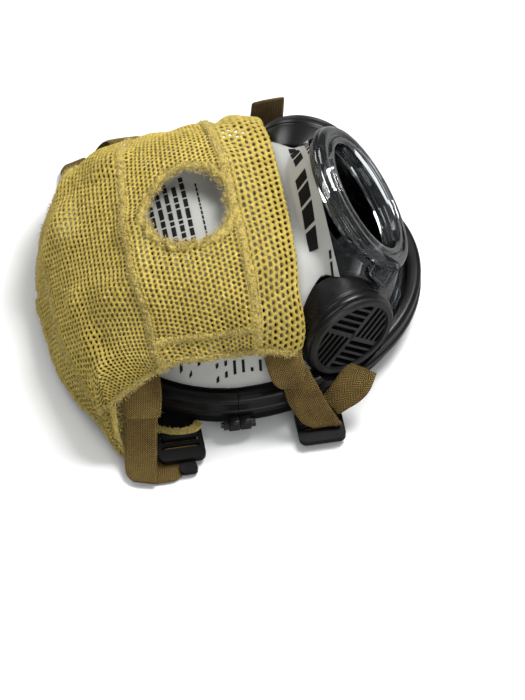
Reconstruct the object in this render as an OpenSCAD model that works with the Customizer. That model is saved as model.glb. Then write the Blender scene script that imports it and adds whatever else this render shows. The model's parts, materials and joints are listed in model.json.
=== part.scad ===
// Full-face breathing facepiece with a mesh head harness, lying on its face seal.
// +Z is out through the lens, +Y is the forehead end, +X is the wearer's left.
// The seal rests on the plane z = 0, with the origin near the middle of the length.

/* [Facepiece] */
// Width over the widest part of the lens frame
mask_width = 168; // [150:1:190]
// Length from the widest point to the forehead end
forehead_len = 82; // [70:1:95]
// Length from the widest point to the chin end
chin_len = 107; // [95:1:120]
// Height of the underside of the frame band
band_bottom = 14; // [12:1:16]
// Height of the top of the frame band
band_top = 27; // [26:0.5:30]

/* [Lens] */
// Height of the lens shoulder above the seal plane
lens_shoulder = 73; // [66:1:78]
// Height of the lens crown above the seal plane
lens_crown = 83; // [80:1:88]
// Wall thickness of the lens
lens_wall = 2.4; // [2:0.1:3.2]

/* [Regulator port] */
// Inner radius of the regulator port
port_inner_r = 31; // [28:0.5:34]
// Outer radius of the port collar
port_outer_r = 42.5; // [40:0.5:44]
// Length of the port bore
port_len = 14; // [10:1:16]

/* [Voicemitters] */
// Distance of each voicemitter face from the middle plane
voice_x = 68; // [66:0.5:71]
// Height of the voicemitter centres
voice_z = 45; // [43:0.5:47]
// Outer radius of a voicemitter housing
voice_r = 27.5; // [25:0.5:29]
// Width of one grille slot
slot_width = 2.6; // [2:0.1:3.2]

/* [Harness] */
// Width of the elastic straps
strap_width = 19; // [16:0.5:22]
// Thickness of the elastic straps
strap_thick = 1.6; // [1.2:0.1:2]
// Radius of the head net over the lens crown
net_r = 94; // [91:0.5:96]
// Radius of the crown hole in the head net
net_hole_r = 22; // [18:0.5:26]

/* [Hidden] */
$fn = 96;
shift_y = -11.2;  // from the drawing frame to the final frame
wide_y = 15;      // widest point of the outline

// Port face centre, and its tilt from +Z towards the chin
port_centre = [0, -65, 80];
port_tilt = 58;

// Voicemitter place along the mask, and its turn towards the chin
voice_y = -45;
voice_turn = 22.2;

// Buckle pins, which run along Y
pin_r = 1.5;
pin_x = 86;
pin_z = 5;
temple_y = 53;
neck_y = -23;

webbing = [0.5, 0.38, 0.2];
buckle_black = [0.1, 0.1, 0.1];

// ---- shared outlines and places ----
// Point at an angle on the mask outline, moved out by grow
function egg_point(grow, angle) = [
    (mask_width / 2 + grow) * cos(angle),
    wide_y + ((sin(angle) >= 0 ? forehead_len : chin_len) + grow) * sin(angle)];

module egg(grow, count = 72)
    polygon([for (i = [0:count - 1]) egg_point(grow, 360 * i / count)]);

// Superellipse coordinate for a cosine or sine
function squared_off(c, power) = sign(c) * pow(abs(c), 2 / power);

// Superellipse with its own forehead and chin reach
module oval(grow, half_width, centre_y, up, down, power, count)
    polygon([for (i = [0:count - 1]) let(angle = 360 * i / count, s = sin(angle)) [
        (half_width + grow) * squared_off(cos(angle), power),
        centre_y + ((s >= 0 ? up : down) + grow) * squared_off(s, power)]]);

module slab(z0, z1) translate([0, 0, z0]) linear_extrude(z1 - z0) children();

module egg_ring(z0, z1, outer, inner) slab(z0, z1) difference() {
    egg(outer);
    egg(inner);
}

// side(1) is the left, side(-1) the right
module side(s) mirror([s < 0 ? 1 : 0, 0, 0]) children();
module both_sides() for (s = [-1, 1]) side(s) children();
module place() translate([0, shift_y, 0]) children();

// Local z leaves the port along its axis, with 0 at the port face
module at_port() translate(port_centre) rotate([port_tilt, 0, 0]) children();

// Local z leaves the left voicemitter outwards, with 0 at its face
module at_voice()
    translate([voice_x, voice_y, voice_z]) rotate([0, 0, -voice_turn]) rotate([0, 90, 0]) children();

// Clears room for both voicemitter housings
module voice_cuts(gap, start = -30, length = 50)
    both_sides() at_voice() translate([0, 0, start]) cylinder(r = voice_r + gap, h = length);

module at_pin(y) translate([pin_x, y, pin_z]) children();
module pin_rod(r, length) rotate([90, 0, 0]) cylinder(r = r, h = length, center = true, $fn = 64);

// ---- lens ----
// Rim offsets from the outline, shared by the lens flange and the face seal
rim_outer = -1.7;
rim_inner = -9;
skirt_offset = -6.3;  // foot of the dome
skirt_z = [22, 28];
// Plan of the latch body and of its pocket
latch_size = [20, 17];
latch_pocket = [11, 11];

module skirt(grow) slab(skirt_z[0], skirt_z[1] + grow / 4) children();

// One-millimetre section whose top is z, raised by grow
module top_slab(z, grow) slab(z - 1 + grow, z + grow) children();

// oval(): grow, half width, centre y, forehead reach, chin reach, power, points
module dome_form(grow) hull() {
    skirt(grow) egg(skirt_offset + grow, 36);
    slab(46, 47) oval(grow, 73.5, wide_y - 3, 69, 66, 2.25, 36);
    top_slab(lens_shoulder, grow) oval(grow, 57, 2, 54, 52, 2.4, 32);
    top_slab(lens_crown, grow) oval(grow, 34, -6, 34, 38, 2.2, 24);
}

// Chin end, running up into the port collar
module chin_form(grow) hull() {
    skirt(grow) polygon([for (i = [0:32]) egg_point(skirt_offset + grow, 206 + 128 * i / 32)]);
    at_port() translate([0, 0, -6.5 + grow]) cylinder(r = port_outer_r - 1 + grow, h = 1, $fn = 40);
    // flattened circle at crown height, where the dome starts to sweep into the collar
    top_slab(lens_crown, grow)
        translate([0, -30]) scale([1, (8 + grow) / (30 + grow)]) circle(r = 30 + grow, $fn = 32);
}

module lens_form(grow) {
    dome_form(grow);
    chin_form(grow);
}

module port_collar() rotate_extrude() polygon([
    [port_inner_r, -16], [port_outer_r, -16], [port_outer_r, -3],
    [port_outer_r - 2.5, 0], [port_inner_r, 0]]);

module latch_body()
    translate([-(port_outer_r + 6), 0, -12]) linear_extrude(11.5) square(latch_size, center = true);

module lens_cavity() difference() {
    union() {
        lens_form(-lens_wall);
        slab(10, 22.5) egg(rim_inner);
    }
    // keeps the collar solid around the bore
    at_port() translate([0, 0, -port_len]) cylinder(r = port_outer_r - 1, h = port_len + 2);
}

module lens() color([0.85, 0.9, 0.92, 0.4]) difference() {
    union() {
        egg_ring(21.8, 25.2, rim_outer, rim_inner);
        lens_form(0);
        at_port() port_collar();
        at_port() latch_body();
    }
    lens_cavity();
    at_port() translate([0, 0, -30]) cylinder(r = port_inner_r, h = 40);
    at_port() translate([-(port_outer_r + 8), 0, -9])
        linear_extrude(12) square(latch_pocket, center = true);
    voice_cuts(0.1, start = -45, length = 60);
}

// ---- frame ----
band_wall = 1.5;   // thickness each side of the outline
lip_z = 25.4;      // underside of the top lip
seam_y = wide_y + 5;
seam_half_gap = 0.15;
screw_x = 87.6;
screw_z = 10.6;
lug_half_width = 3.6;
lug_height = 7.6;
lug_len = 6;       // reach of each lug from the seam

module band() {
    egg_ring(band_bottom, band_top, band_wall, -band_wall);
    egg_ring(lip_z, band_top, 0, -6.05);
    egg_ring(band_bottom, band_bottom + 1.4, 0, -4.4);
}

// Local z runs along the screws towards the chin, with 0 at the seam
module at_screws() for (s = [-1, 1])
    translate([s * screw_x, seam_y, screw_z]) rotate([90, 0, 0]) children();

module half_band(upper) difference() {
    union() {
        intersection() {
            band();
            translate([-150, upper ? seam_y + seam_half_gap : -150, 0])
                cube([300, upper ? 150 : 150 + seam_y - seam_half_gap, 60]);
        }
        both_sides() translate([
            screw_x - lug_half_width,
            seam_y + (upper ? seam_half_gap : -lug_len),
            screw_z - lug_half_width])
            cube([2 * lug_half_width, lug_len - seam_half_gap, lug_height]);
    }
    voice_cuts(0.3);
    at_screws() translate([0, 0, -20]) cylinder(r = 1.6, h = 40, $fn = 48);
}

module upper_frame() color([0.09, 0.09, 0.1]) half_band(true);
module lower_frame() color([0.1, 0.1, 0.11]) half_band(false);

module frame_screws() color("silver") at_screws() {
    head_z = lug_len + 0.1;
    translate([0, 0, -10]) cylinder(r = 1.5, h = 10 + head_z, $fn = 48);
    translate([0, 0, head_z]) cylinder(r = 2.7, h = 2.4, $fn = 48);
}

module frame_nuts() color("silver") at_screws() translate([0, 0, -8.6]) difference() {
    cylinder(r = 3.1, h = 2.4, $fn = 6);
    translate([0, 0, -1]) cylinder(r = 1.55, h = 5, $fn = 48);
}

// ---- face seal ----
seal_pin_gap = 0.05;
knuckle_r = 3.1;
knuckle_width = 19;
ear_x = 70;
ear_z = 1.6;
ear_width = 20;

// Tab at the seal edge with a knuckle for a buckle pin
module ear(y) {
    translate([ear_x, y - ear_width / 2, ear_z]) cube([12.2, ear_width, pin_z - ear_z]);
    at_pin(y) pin_rod(knuckle_r, knuckle_width);
    translate([pin_x - 6, y - knuckle_width / 2, pin_z - knuckle_r]) cube([6, knuckle_width, 3]);
}

module face_seal() color([0.07, 0.07, 0.075]) difference() {
    union() {
        egg_ring(15.6, 21.6, rim_outer, rim_inner);
        egg_ring(3, 16, -4.7, -8.2);
        egg_ring(0, 4, -4.7, -24);
        both_sides() {
            ear(temple_y);
            ear(neck_y);
        }
    }
    voice_cuts(0.3);
    both_sides() for (y = [temple_y, neck_y]) at_pin(y) pin_rod(pin_r + seal_pin_gap, 40);
}

// ---- nose cup and its inhalation valves ----
cup_wall = 2;
cup_port_y = -7;  // cup mouth below the port axis, in port coordinates

// Local z points to the left from x, on the valve axis
module at_valve(x) translate([x, -38, 30]) rotate([0, 90, 0]) children();

module cup_form(grow) hull() {
    // the inner form reaches lower, so the cup is open at the face
    slab(6 - (grow < 0 ? 2 : 0), 9) oval(grow, 36, -34, 32, 30, 2, 32);
    slab(30, 31) oval(grow, 33, -40, 22, 26, 2, 32);
    at_port() translate([0, cup_port_y, -24]) cylinder(r = 20 + grow, h = 2, $fn = 32);
}

module nose_cup() color([0.06, 0.06, 0.065]) difference() {
    cup_form(0);
    cup_form(-cup_wall);
    at_port() translate([0, cup_port_y, -40]) cylinder(r = 16, h = 40);
    both_sides() at_valve(15) cylinder(r = 10.2, h = 40);
}

// Ring crossed by three bars
module valve_seat() color("dimgray") at_valve(29) difference() {
    cylinder(r = 10, h = 7);
    translate([0, 0, -1]) difference() {
        cylinder(r = 8, h = 9);
        translate([0, 0, 3]) for (a = [0, 60, 120])
            rotate([0, 0, a]) translate([-9, -0.6, 0]) cube([18, 1.2, 2]);
    }
}

module inhalation_valve() color("khaki") at_valve(27.7) cylinder(r = 9.4, h = 1.1);

// ---- voicemitters ----
// Profiles are [radius, local z]
housing_back = -24;
housing_floor = -21.5;
housing_rim = -3;
back_hole_r = 15;
pocket_r = 24.4;
insert_r = 24.1;   // parts that sit in the pocket
slot_gap = 1.55;

module voicemitter_housing() color([0.08, 0.08, 0.09]) at_voice() rotate_extrude() polygon([
    [back_hole_r, housing_back], [voice_r, housing_back], [voice_r, -4.5],
    [voice_r - 1.2, housing_rim], [pocket_r, housing_rim],
    [pocket_r, housing_floor], [back_hole_r, housing_floor]]);

module voicemitter_gasket() color("black") at_voice()
    translate([0, 0, -20.2]) rotate_extrude() translate([22.6, 0]) circle(r = 1.2, $fn = 32);

// Thin disc held in a ring
module voicemitter_diaphragm() color("tan") at_voice() {
    translate([0, 0, -18.8]) rotate_extrude()
        polygon([[20.5, 0], [insert_r, 0], [insert_r, 3], [20.5, 3]]);
    translate([0, 0, -17.6]) cylinder(r = 21, h = 0.5);
}

// Four quadrants of parallel slots, turned in alternate directions
module grille_slots() for (quadrant = [0:3]) rotate([0, 0, 90 * quadrant]) intersection() {
    translate([0.9, 0.9, -10]) cube([30, 30, 30]);
    translate([0, 0, -10]) cylinder(r = 21.6, h = 30);
    for (k = [0:4])
        translate([0, 1.9 + k * (slot_width + slot_gap), -10]) cube([30, slot_width, 30]);
}

module voicemitter_grille() color([0.14, 0.14, 0.15]) at_voice() rotate([0, 0, 45]) difference() {
    rotate_extrude() polygon([
        [0, -3.6], [22.3, -3.6], [22.3, -14], [insert_r, -14], [insert_r, -2.8], [26.2, -2.8],
        [26.2, -1.2], [25, 0], [22.4, 0], [21.8, -1], [0, -0.6]]);
    grille_slots();
}

// ---- protective cover sheet on the lens ----
cover_gap = 0.3;
cover_thick = 0.5;
cover_bottom = 28.6;
cover_end_y = -38;  // chin-end edge

module lens_cover_sheet() color([0.87, 0.87, 0.85]) difference() {
    lens_form(cover_gap + cover_thick);
    lens_form(cover_gap);
    slab(-1, cover_bottom) square(400, center = true);
    translate([-200, cover_end_y - 400, -1]) cube([400, 400, 200]);
    voice_cuts(0.6);
    at_port() translate([0, 0, -20]) cylinder(r = port_outer_r + 0.6, h = 40);
}

// ---- head net ----
// A draped shell: a superellipse across the head, swept about an X axis at the widest point.
// The sweep angle starts at +Y and rises towards +Z; the across angle is 90 on the middle plane.
net_half_width = 81.5;
net_power = 3.2;
net_thick = 2;
net_columns = 26;
net_rows = 20;

function smooth_step(t) = let(u = min(1, max(0, t))) u * u * (3 - 2 * u);
function net_reach(sweep) = net_r + 10 * smooth_step((70 - sweep) / 50);
// 0 near the middle plane, rising to 1 towards the sides
function net_sideness(across) = smooth_step((abs(across - 90) - 30) / 35);

function net_point(across, fraction, grow) = let(
    low = 5 + 17 * net_sideness(across),
    high = 111 + 8 * net_sideness(across),
    sweep = low + (high - low) * fraction,
    r = (net_reach(sweep) + grow) * squared_off(sin(across), net_power))
    [(net_half_width + grow) * squared_off(cos(across), net_power),
        wide_y + r * cos(sweep), r * sin(sweep)];

function net_grid(grow) = [for (j = [0:net_rows], i = [0:net_columns])
    net_point(25 + 130 * i / net_columns, j / net_rows, grow)];

// Index of a grid point; layer 0 is the outer surface, 1 the inner
function net_id(i, j, layer = 0) =
    (layer * (net_rows + 1) + j) * (net_columns + 1) + i;

// Two triangles sharing the diagonal a-c
function quad(a, b, c, d) = [[a, b, c], [a, c, d]];

// Edge wall from point p to point q, each [i, j]
function net_wall(p, q) = quad(
    net_id(p[0], p[1]), net_id(q[0], q[1]), net_id(q[0], q[1], 1), net_id(p[0], p[1], 1));
// The same wall facing the other way, with the same diagonal
function net_wall_back(p, q) = quad(
    net_id(p[0], p[1]), net_id(p[0], p[1], 1), net_id(q[0], q[1], 1), net_id(q[0], q[1]));

module net_shell() polyhedron(
    points = concat(net_grid(0), net_grid(-net_thick)),
    faces = [
        for (j = [0:net_rows - 1], i = [0:net_columns - 1]) each concat(
            quad(net_id(i, j), net_id(i + 1, j), net_id(i + 1, j + 1), net_id(i, j + 1)),
            quad(net_id(i, j, 1), net_id(i, j + 1, 1), net_id(i + 1, j + 1, 1), net_id(i + 1, j, 1))),
        for (i = [0:net_columns - 1]) each concat(
            net_wall_back([i, 0], [i + 1, 0]),
            net_wall([i, net_rows], [i + 1, net_rows])),
        for (j = [0:net_rows - 1]) each concat(
            net_wall([0, j], [0, j + 1]),
            net_wall_back([net_columns, j], [net_columns, j + 1]))],
    convexity = 4);

module head_net() color([0.82, 0.72, 0.38]) difference() {
    net_shell();
    translate([0, wide_y, 0]) rotate([-12, 0, 0]) translate([0, 0, 70])
        scale([1.15, 1, 1]) cylinder(r = net_hole_r, h = 40);
}

// ---- straps ----
// Outline of even thickness along a path of [x, z] points
function ribbon(path, thick) = let(
    last = len(path) - 1,
    normals = [for (i = [0:last])
        let(d = path[min(last, i + 1)] - path[max(0, i - 1)]) [-d[1], d[0]] / norm(d)])
    concat(
        [for (i = [0:last]) path[i] + normals[i] * thick / 2],
        [for (i = [last:-1:0]) path[i] - normals[i] * thick / 2]);

// Smooth drop from one [x, z] point to another
function drop(from, to, steps = 10) = [for (i = [0:steps]) let(t = i / steps)
    [from[0] + (to[0] - from[0]) * t, from[1] + (to[1] - from[1]) * smooth_step(t)]];

temple_path = concat(drop([82.5, 37], [112, 3.2]), [[115.5, 2.6], [117.6, 1.6]]);
temple_strap_y = 78;
fold_z = 0.3;
fold_thick = 1.2;

module temple_strap() color(webbing) {
    translate([0, temple_strap_y + strap_width / 2, 0]) rotate([90, 0, 0])
        linear_extrude(strap_width) polygon(ribbon(temple_path, strap_thick));
    // folded lower layer running back towards the buckle
    hull() {
        translate([106, 72, fold_z]) cube([11, 15, fold_thick]);
        translate([95, 44, fold_z]) cube([10, strap_width, fold_thick]);
    }
}

// Neck strap sections from the net down to the buckle: [corner], x size, z size
neck_stations = [
    [[79, -14, 47], 1.4, 2],
    [[87, -15, 29], 1.4, 2],
    [[95.5, -32.5, 11], 2, 1.4],
    [[93.6, -32.5, 7.1], 2, 1.4]];

module neck_section(station)
    translate(station[0]) cube([station[1], strap_width, station[2]]);

module neck_strap() color(webbing) for (i = [0:len(neck_stations) - 2]) hull() {
    neck_section(neck_stations[i]);
    neck_section(neck_stations[i + 1]);
}

module neck_strap_tail() color(webbing) hull() {
    translate([86, -40, 10]) cube([6, 9, strap_thick]);
    translate([80.6, -58, 24]) cube([3, 17, strap_thick]);
}

module temple_strap_tip() color(buckle_black)
    translate([104.6, 46, 1.9]) linear_extrude(2.6) hull() {
        translate([0, 0.6]) square([2, 8.8]);
        translate([4, 2.6]) circle(r = 2.4, $fn = 32);
        translate([4, 7.4]) circle(r = 2.4, $fn = 32);
    }

// ---- buckles ----
buckle_thick = 3.2;
buckle_pin_gap = 0.02;
arm_y = 11.4;
arm_width = 2.4;

module buckle(y) color(buckle_black) at_pin(y) difference() {
    union() {
        for (v = [-1, 1]) translate([-2.6, v * arm_y - arm_width / 2, -buckle_thick / 2])
            cube([14, arm_width, buckle_thick]);
        // cross bar
        translate([5, -11, -1.2]) cube([2.4, 22, 2.4]);
        // rounded outer tongue
        translate([0, 0, -buckle_thick / 2]) linear_extrude(buckle_thick) hull() {
            translate([9.6, -arm_y - arm_width / 2]) square([3, 2 * arm_y + arm_width]);
            for (v = [-1, 1]) translate([13.6, v * 8.6]) circle(r = 4, $fn = 40);
        }
    }
    pin_rod(pin_r + buckle_pin_gap, 40);
}

module buckle_pin(y) color("gray") at_pin(y) pin_rod(pin_r, 25.4);

place() lens();
place() upper_frame();
place() lower_frame();
place() frame_screws();
place() frame_nuts();
place() face_seal();
place() nose_cup();
place() valve_seat();  // valve_seat_left
place() side(-1) valve_seat();  // valve_seat_right
place() inhalation_valve();  // inhalation_valve_left
place() side(-1) inhalation_valve();  // inhalation_valve_right
place() voicemitter_housing();  // voicemitter_housing_left
place() side(-1) voicemitter_housing();  // voicemitter_housing_right
place() voicemitter_gasket();  // voicemitter_gasket_left
place() side(-1) voicemitter_gasket();  // voicemitter_gasket_right
place() voicemitter_diaphragm();  // voicemitter_diaphragm_left
place() side(-1) voicemitter_diaphragm();  // voicemitter_diaphragm_right
place() voicemitter_grille();  // voicemitter_grille_left
place() side(-1) voicemitter_grille();  // voicemitter_grille_right
place() lens_cover_sheet();
place() head_net();
place() temple_strap();  // temple_strap_left
place() side(-1) temple_strap();  // temple_strap_right
place() neck_strap();  // neck_strap_left
place() side(-1) neck_strap();  // neck_strap_right
place() neck_strap_tail();  // neck_strap_tail_left
place() side(-1) neck_strap_tail();  // neck_strap_tail_right
place() temple_strap_tip();  // temple_strap_tip_left
place() side(-1) temple_strap_tip();  // temple_strap_tip_right
place() buckle(temple_y);  // temple_buckle_left
place() side(-1) buckle(temple_y);  // temple_buckle_right
place() buckle(neck_y);  // neck_buckle_left
place() side(-1) buckle(neck_y);  // neck_buckle_right
place() buckle_pin(temple_y);  // temple_buckle_pin_left
place() side(-1) buckle_pin(temple_y);  // temple_buckle_pin_right
place() buckle_pin(neck_y);  // neck_buckle_pin_left
place() side(-1) buckle_pin(neck_y);  // neck_buckle_pin_right
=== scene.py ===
"""A full-face respirator mask with a knitted head net drawn over its lens.

The shapes are given in millimetres in the mask's own frame. The face seal rests on z = 0 and the
lens faces up. +x is the wearer's left, +y the forehead, -y the chin and +z away from the face.
Meshes are in metres and moved by SHIFT_Y along y. A side is -1 (right) or +1 (left).
"""
import json
import math

import bmesh
import bpy
import numpy as np
from mathutils import Matrix, Vector
from mathutils.bvhtree import BVHTree

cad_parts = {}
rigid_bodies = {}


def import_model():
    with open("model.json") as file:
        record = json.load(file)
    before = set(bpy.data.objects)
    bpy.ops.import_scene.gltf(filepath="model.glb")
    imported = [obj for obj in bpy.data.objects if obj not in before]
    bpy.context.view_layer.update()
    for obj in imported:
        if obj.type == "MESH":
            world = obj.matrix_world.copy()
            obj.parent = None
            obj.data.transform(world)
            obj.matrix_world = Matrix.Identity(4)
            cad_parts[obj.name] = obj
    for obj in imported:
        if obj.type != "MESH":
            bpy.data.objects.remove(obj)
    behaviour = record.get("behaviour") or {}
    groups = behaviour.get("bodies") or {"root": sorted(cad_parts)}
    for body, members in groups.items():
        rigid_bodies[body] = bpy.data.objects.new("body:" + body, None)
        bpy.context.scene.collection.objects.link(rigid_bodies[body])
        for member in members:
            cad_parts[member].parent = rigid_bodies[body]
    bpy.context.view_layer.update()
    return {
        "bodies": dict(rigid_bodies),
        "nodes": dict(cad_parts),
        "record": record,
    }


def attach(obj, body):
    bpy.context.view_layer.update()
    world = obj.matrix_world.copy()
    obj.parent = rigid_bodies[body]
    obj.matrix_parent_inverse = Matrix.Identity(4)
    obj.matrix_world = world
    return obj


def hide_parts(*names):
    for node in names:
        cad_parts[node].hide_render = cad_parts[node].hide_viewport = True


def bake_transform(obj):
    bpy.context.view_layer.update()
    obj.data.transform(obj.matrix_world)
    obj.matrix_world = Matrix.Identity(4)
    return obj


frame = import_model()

NODES = frame["nodes"]
SIDES = ((-1, "right"), (1, "left"))
rng = np.random.default_rng(7)

# ------------------------------------------------------------------ driving dimensions, mm
SHIFT_Y = -11.2
HALF_WIDTH = 84.0           # egg outline of the frame
FOREHEAD_REACH = 82.0
CHIN_REACH = 107.0
CENTRE_Y = 15.0             # widest line of the egg
CENTRE = np.array([0, CENTRE_Y, 0])

PORT_CENTRE = np.array([0.0, -65.0, 80.0])
PORT_TILT = math.radians(58)
PORT_AXIS = np.array([0.0, -math.sin(PORT_TILT), math.cos(PORT_TILT)])
PORT_UP = np.array([0.0, math.cos(PORT_TILT), math.sin(PORT_TILT)])   # towards the forehead
PORT_OUTER_R = 42.5

VM_CENTRE = np.array([68.0, -45.0, 45.0])                  # left voicemitter
VM_TURN = math.radians(22.2)                               # towards the chin
VM_RADIUS = 27.5

STRAP_Y = {"temple": 53, "neck": -23}
WEAVE_PITCH = 1.25          # rows of the webbing
CHEVRON = 6.4               # width of one zigzag of the webbing


# ------------------------------------------------------------------ maths
def to_row(points):
    """Metres, as rows of x y z."""
    points = np.asarray(points, float).reshape(-1, 3).copy()
    points[:, 1] += SHIFT_Y
    return points / 1000.0


def ease(t):
    t = np.clip(t, 0, 1)
    return t * t * (3 - 2 * t)


def signed_power(values, power):
    return np.sign(values) * np.abs(values) ** power


def unit(vectors):
    return vectors / np.maximum(np.linalg.norm(vectors, axis=-1, keepdims=True), 1e-9)


def turns(steps):
    return np.linspace(0, 2 * math.pi, steps, endpoint=False)


def run_length(points):
    """Distance along a path up to each of its points."""
    return np.concatenate([[0], np.cumsum(np.linalg.norm(np.diff(points, axis=0), axis=1))])


def catmull(keys, steps):
    """Catmull-Rom curve through the keys, which may be points or whole rings."""
    keys = [np.asarray(key, float) for key in keys]
    last = len(keys) - 1
    out = []
    for x in np.linspace(0, last, steps):
        i = min(int(x), last - 1)
        u = x - i
        before, here, ahead, beyond = keys[max(0, i - 1)], keys[i], keys[i + 1], keys[min(last, i + 2)]
        out.append(0.5 * (2 * here + (ahead - before) * u
                          + (2 * before - 5 * here + 4 * ahead - beyond) * u * u
                          + (3 * here - before - 3 * ahead + beyond) * u ** 3))
    return out


def placer(origin, across, along, out):
    """A function that moves points from local axes into the mask's frame."""
    def place(points):
        return origin + points[:, :1] * across + points[:, 1:2] * along + points[:, 2:3] * out
    return place


def at_height(outline, z):
    return np.column_stack([outline, np.full(len(outline), z)])


# ------------------------------------------------------------------ outlines and solids
def egg(turn, offset):
    """The frame's outline, grown by offset."""
    sine = np.sin(turn)
    reach = np.where(sine >= 0, FOREHEAD_REACH + offset, CHIN_REACH + offset)
    return np.stack([(HALF_WIDTH + offset) * np.cos(turn), CENTRE_Y + reach * sine], -1)


def superegg(half_width, y, up, down, power, turn):
    """A squared-off oval with its own reach towards forehead (up) and chin (down)."""
    cosine, sine = np.cos(turn), np.sin(turn)
    return np.stack([half_width * signed_power(cosine, 2 / power),
                     y + np.where(sine >= 0, up, down) * signed_power(sine, 2 / power)], -1)


def rounded(outline, radius=None, steps=3):
    """Round a closed polygon. Rows are x, y, corner radius, or x, y with one radius for all."""
    outline = np.asarray(outline, float)
    points = outline[:, :2]
    radii = outline[:, 2] if radius is None else [radius] * len(points)
    out = []
    for i, corner in enumerate(points):
        back = points[i - 1] - corner
        ahead = points[(i + 1) % len(points)] - corner
        back_length, ahead_length = np.linalg.norm(back), np.linalg.norm(ahead)
        cut = min(radii[i], back_length * 0.45, ahead_length * 0.45)
        start = corner + back / back_length * cut
        end = corner + ahead / ahead_length * cut
        for k in range(steps + 1):
            t = k / steps
            out.append((1 - t) ** 2 * start + 2 * t * (1 - t) * corner + t * t * end)
    return np.array(out)


def rounded_rect(width, height, radius, steps=6):
    x, y = width / 2 - radius, height / 2 - radius
    out = []
    for corner_x, corner_y, start in ((x, y, 0), (-x, y, 90), (-x, -y, 180), (x, -y, 270)):
        for k in range(steps + 1):
            angle = math.radians(start + 90 * k / steps)
            out.append((corner_x + radius * math.cos(angle), corner_y + radius * math.sin(angle)))
    return np.array(out)


def grid_faces(ring_size, rings, close=False):
    """Quads between closed rings. close also joins the last ring to the first."""
    faces = []
    for j in range(rings if close else rings - 1):
        here, ahead = j * ring_size, (j + 1) % rings * ring_size
        for i in range(ring_size):
            k = (i + 1) % ring_size
            faces.append((here + i, here + k, ahead + k, ahead + i))
    return faces


def loft(rings, close=False):
    """Skin over rings of equal size, closed on itself or capped at both ends."""
    size = len(rings[0])
    faces = grid_faces(size, len(rings), close)
    if not close:
        last = (len(rings) - 1) * size
        faces.append(tuple(range(size))[::-1])
        faces.append(tuple(last + k for k in range(size)))
    return np.concatenate(rings), faces


def lathe(profile, steps, place):
    """Turn a closed (radius, height) profile about its axis, then place it."""
    turn = turns(steps)
    rings = np.zeros((steps, len(profile), 3))
    rings[:, :, 0] = np.cos(turn)[:, None] * profile[None, :, 0]
    rings[:, :, 1] = np.sin(turn)[:, None] * profile[None, :, 0]
    rings[:, :, 2] = profile[None, :, 1]
    points, faces = loft(rings, close=True)
    return place(points), faces


def sweep_egg(profile, start=0.0, stop=2 * math.pi, steps=300):
    """Sweep a closed (offset, z) profile around the egg outline."""
    full = abs(stop - start - 2 * math.pi) < 1e-9
    turn = np.linspace(start, stop, steps, endpoint=not full)
    rings = np.zeros((steps, len(profile), 3))
    for k, (offset, z) in enumerate(profile):
        rings[:, k, :2] = egg(turn, offset)
        rings[:, k, 2] = z
    return loft(rings, close=full)


def hull(points):
    bm = bmesh.new()
    for point in points.tolist():
        bm.verts.new(point)
    result = bmesh.ops.convex_hull(bm, input=bm.verts)
    spare = {item for item in result["geom_interior"] + result["geom_unused"]
             if isinstance(item, bmesh.types.BMVert)}
    bmesh.ops.delete(bm, geom=list(spare), context="VERTS")
    bm.verts.ensure_lookup_table()
    bm.verts.index_update()
    out = np.array([vert.co for vert in bm.verts])
    faces = [[vert.index for vert in face.verts] for face in bm.faces]
    bm.free()
    return out, faces


def join(meshes):
    points, faces, offset = [], [], 0
    for some_points, some_faces in meshes:
        points.append(np.asarray(some_points, float))
        faces += [tuple(i + offset for i in face) for face in some_faces]
        offset += len(some_points)
    return np.concatenate(points), faces


# ------------------------------------------------------------------ Blender objects
def link(obj):
    bpy.context.scene.collection.objects.link(obj)
    return obj


def fix_normals(obj):
    bm = bmesh.new()
    bm.from_mesh(obj.data)
    bmesh.ops.recalc_face_normals(bm, faces=bm.faces)
    bm.to_mesh(obj.data)
    bm.free()


def crease_above(obj, angle):
    """Shade smooth, with sharp edges above an angle in degrees."""
    mesh = obj.data
    mesh.polygons.foreach_set("use_smooth", [True] * len(mesh.polygons))
    mesh.set_sharp_from_angle(angle=math.radians(angle))


def add_modifier(obj, kind, **settings):
    modifier = obj.modifiers.new(kind.title(), kind)
    for key, value in settings.items():
        setattr(modifier, key, value)


def apply_modifiers(obj):
    depsgraph = bpy.context.evaluated_depsgraph_get()
    mesh = bpy.data.meshes.new_from_object(obj.evaluated_get(depsgraph), depsgraph=depsgraph)
    old = obj.data
    obj.modifiers.clear()
    obj.data = mesh
    if old.users == 0:
        bpy.data.meshes.remove(old)


def bevel(obj, width, segments):
    add_modifier(obj, "BEVEL", width=width / 1000, segments=segments, limit_method="ANGLE",
                 angle_limit=math.radians(35))


def subtract(obj, cutters):
    for cutter in cutters:
        add_modifier(obj, "BOOLEAN", operation="DIFFERENCE", solver="EXACT", object=cutter)
    apply_modifiers(obj)
    for cutter in cutters:
        bpy.data.objects.remove(cutter)


def mesh_object(name, mesh, mat, smooth=True, uv=None):
    """An object from (points in mm, faces). uv holds one pair per point."""
    points, faces = mesh
    data = bpy.data.meshes.new(name)
    data.from_pydata(to_row(points).tolist(), [], [tuple(int(i) for i in face) for face in faces])
    data.validate()
    data.update()
    if smooth:
        data.polygons.foreach_set("use_smooth", [True] * len(data.polygons))
    if uv is not None:
        layer = data.uv_layers.new(name="weave")
        index = np.zeros(len(data.loops), int)
        data.loops.foreach_get("vertex_index", index)
        layer.data.foreach_set("uv", np.asarray(uv, float)[index].ravel())
    obj = link(bpy.data.objects.new(name, data))
    data.materials.append(mat)
    return obj


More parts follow.
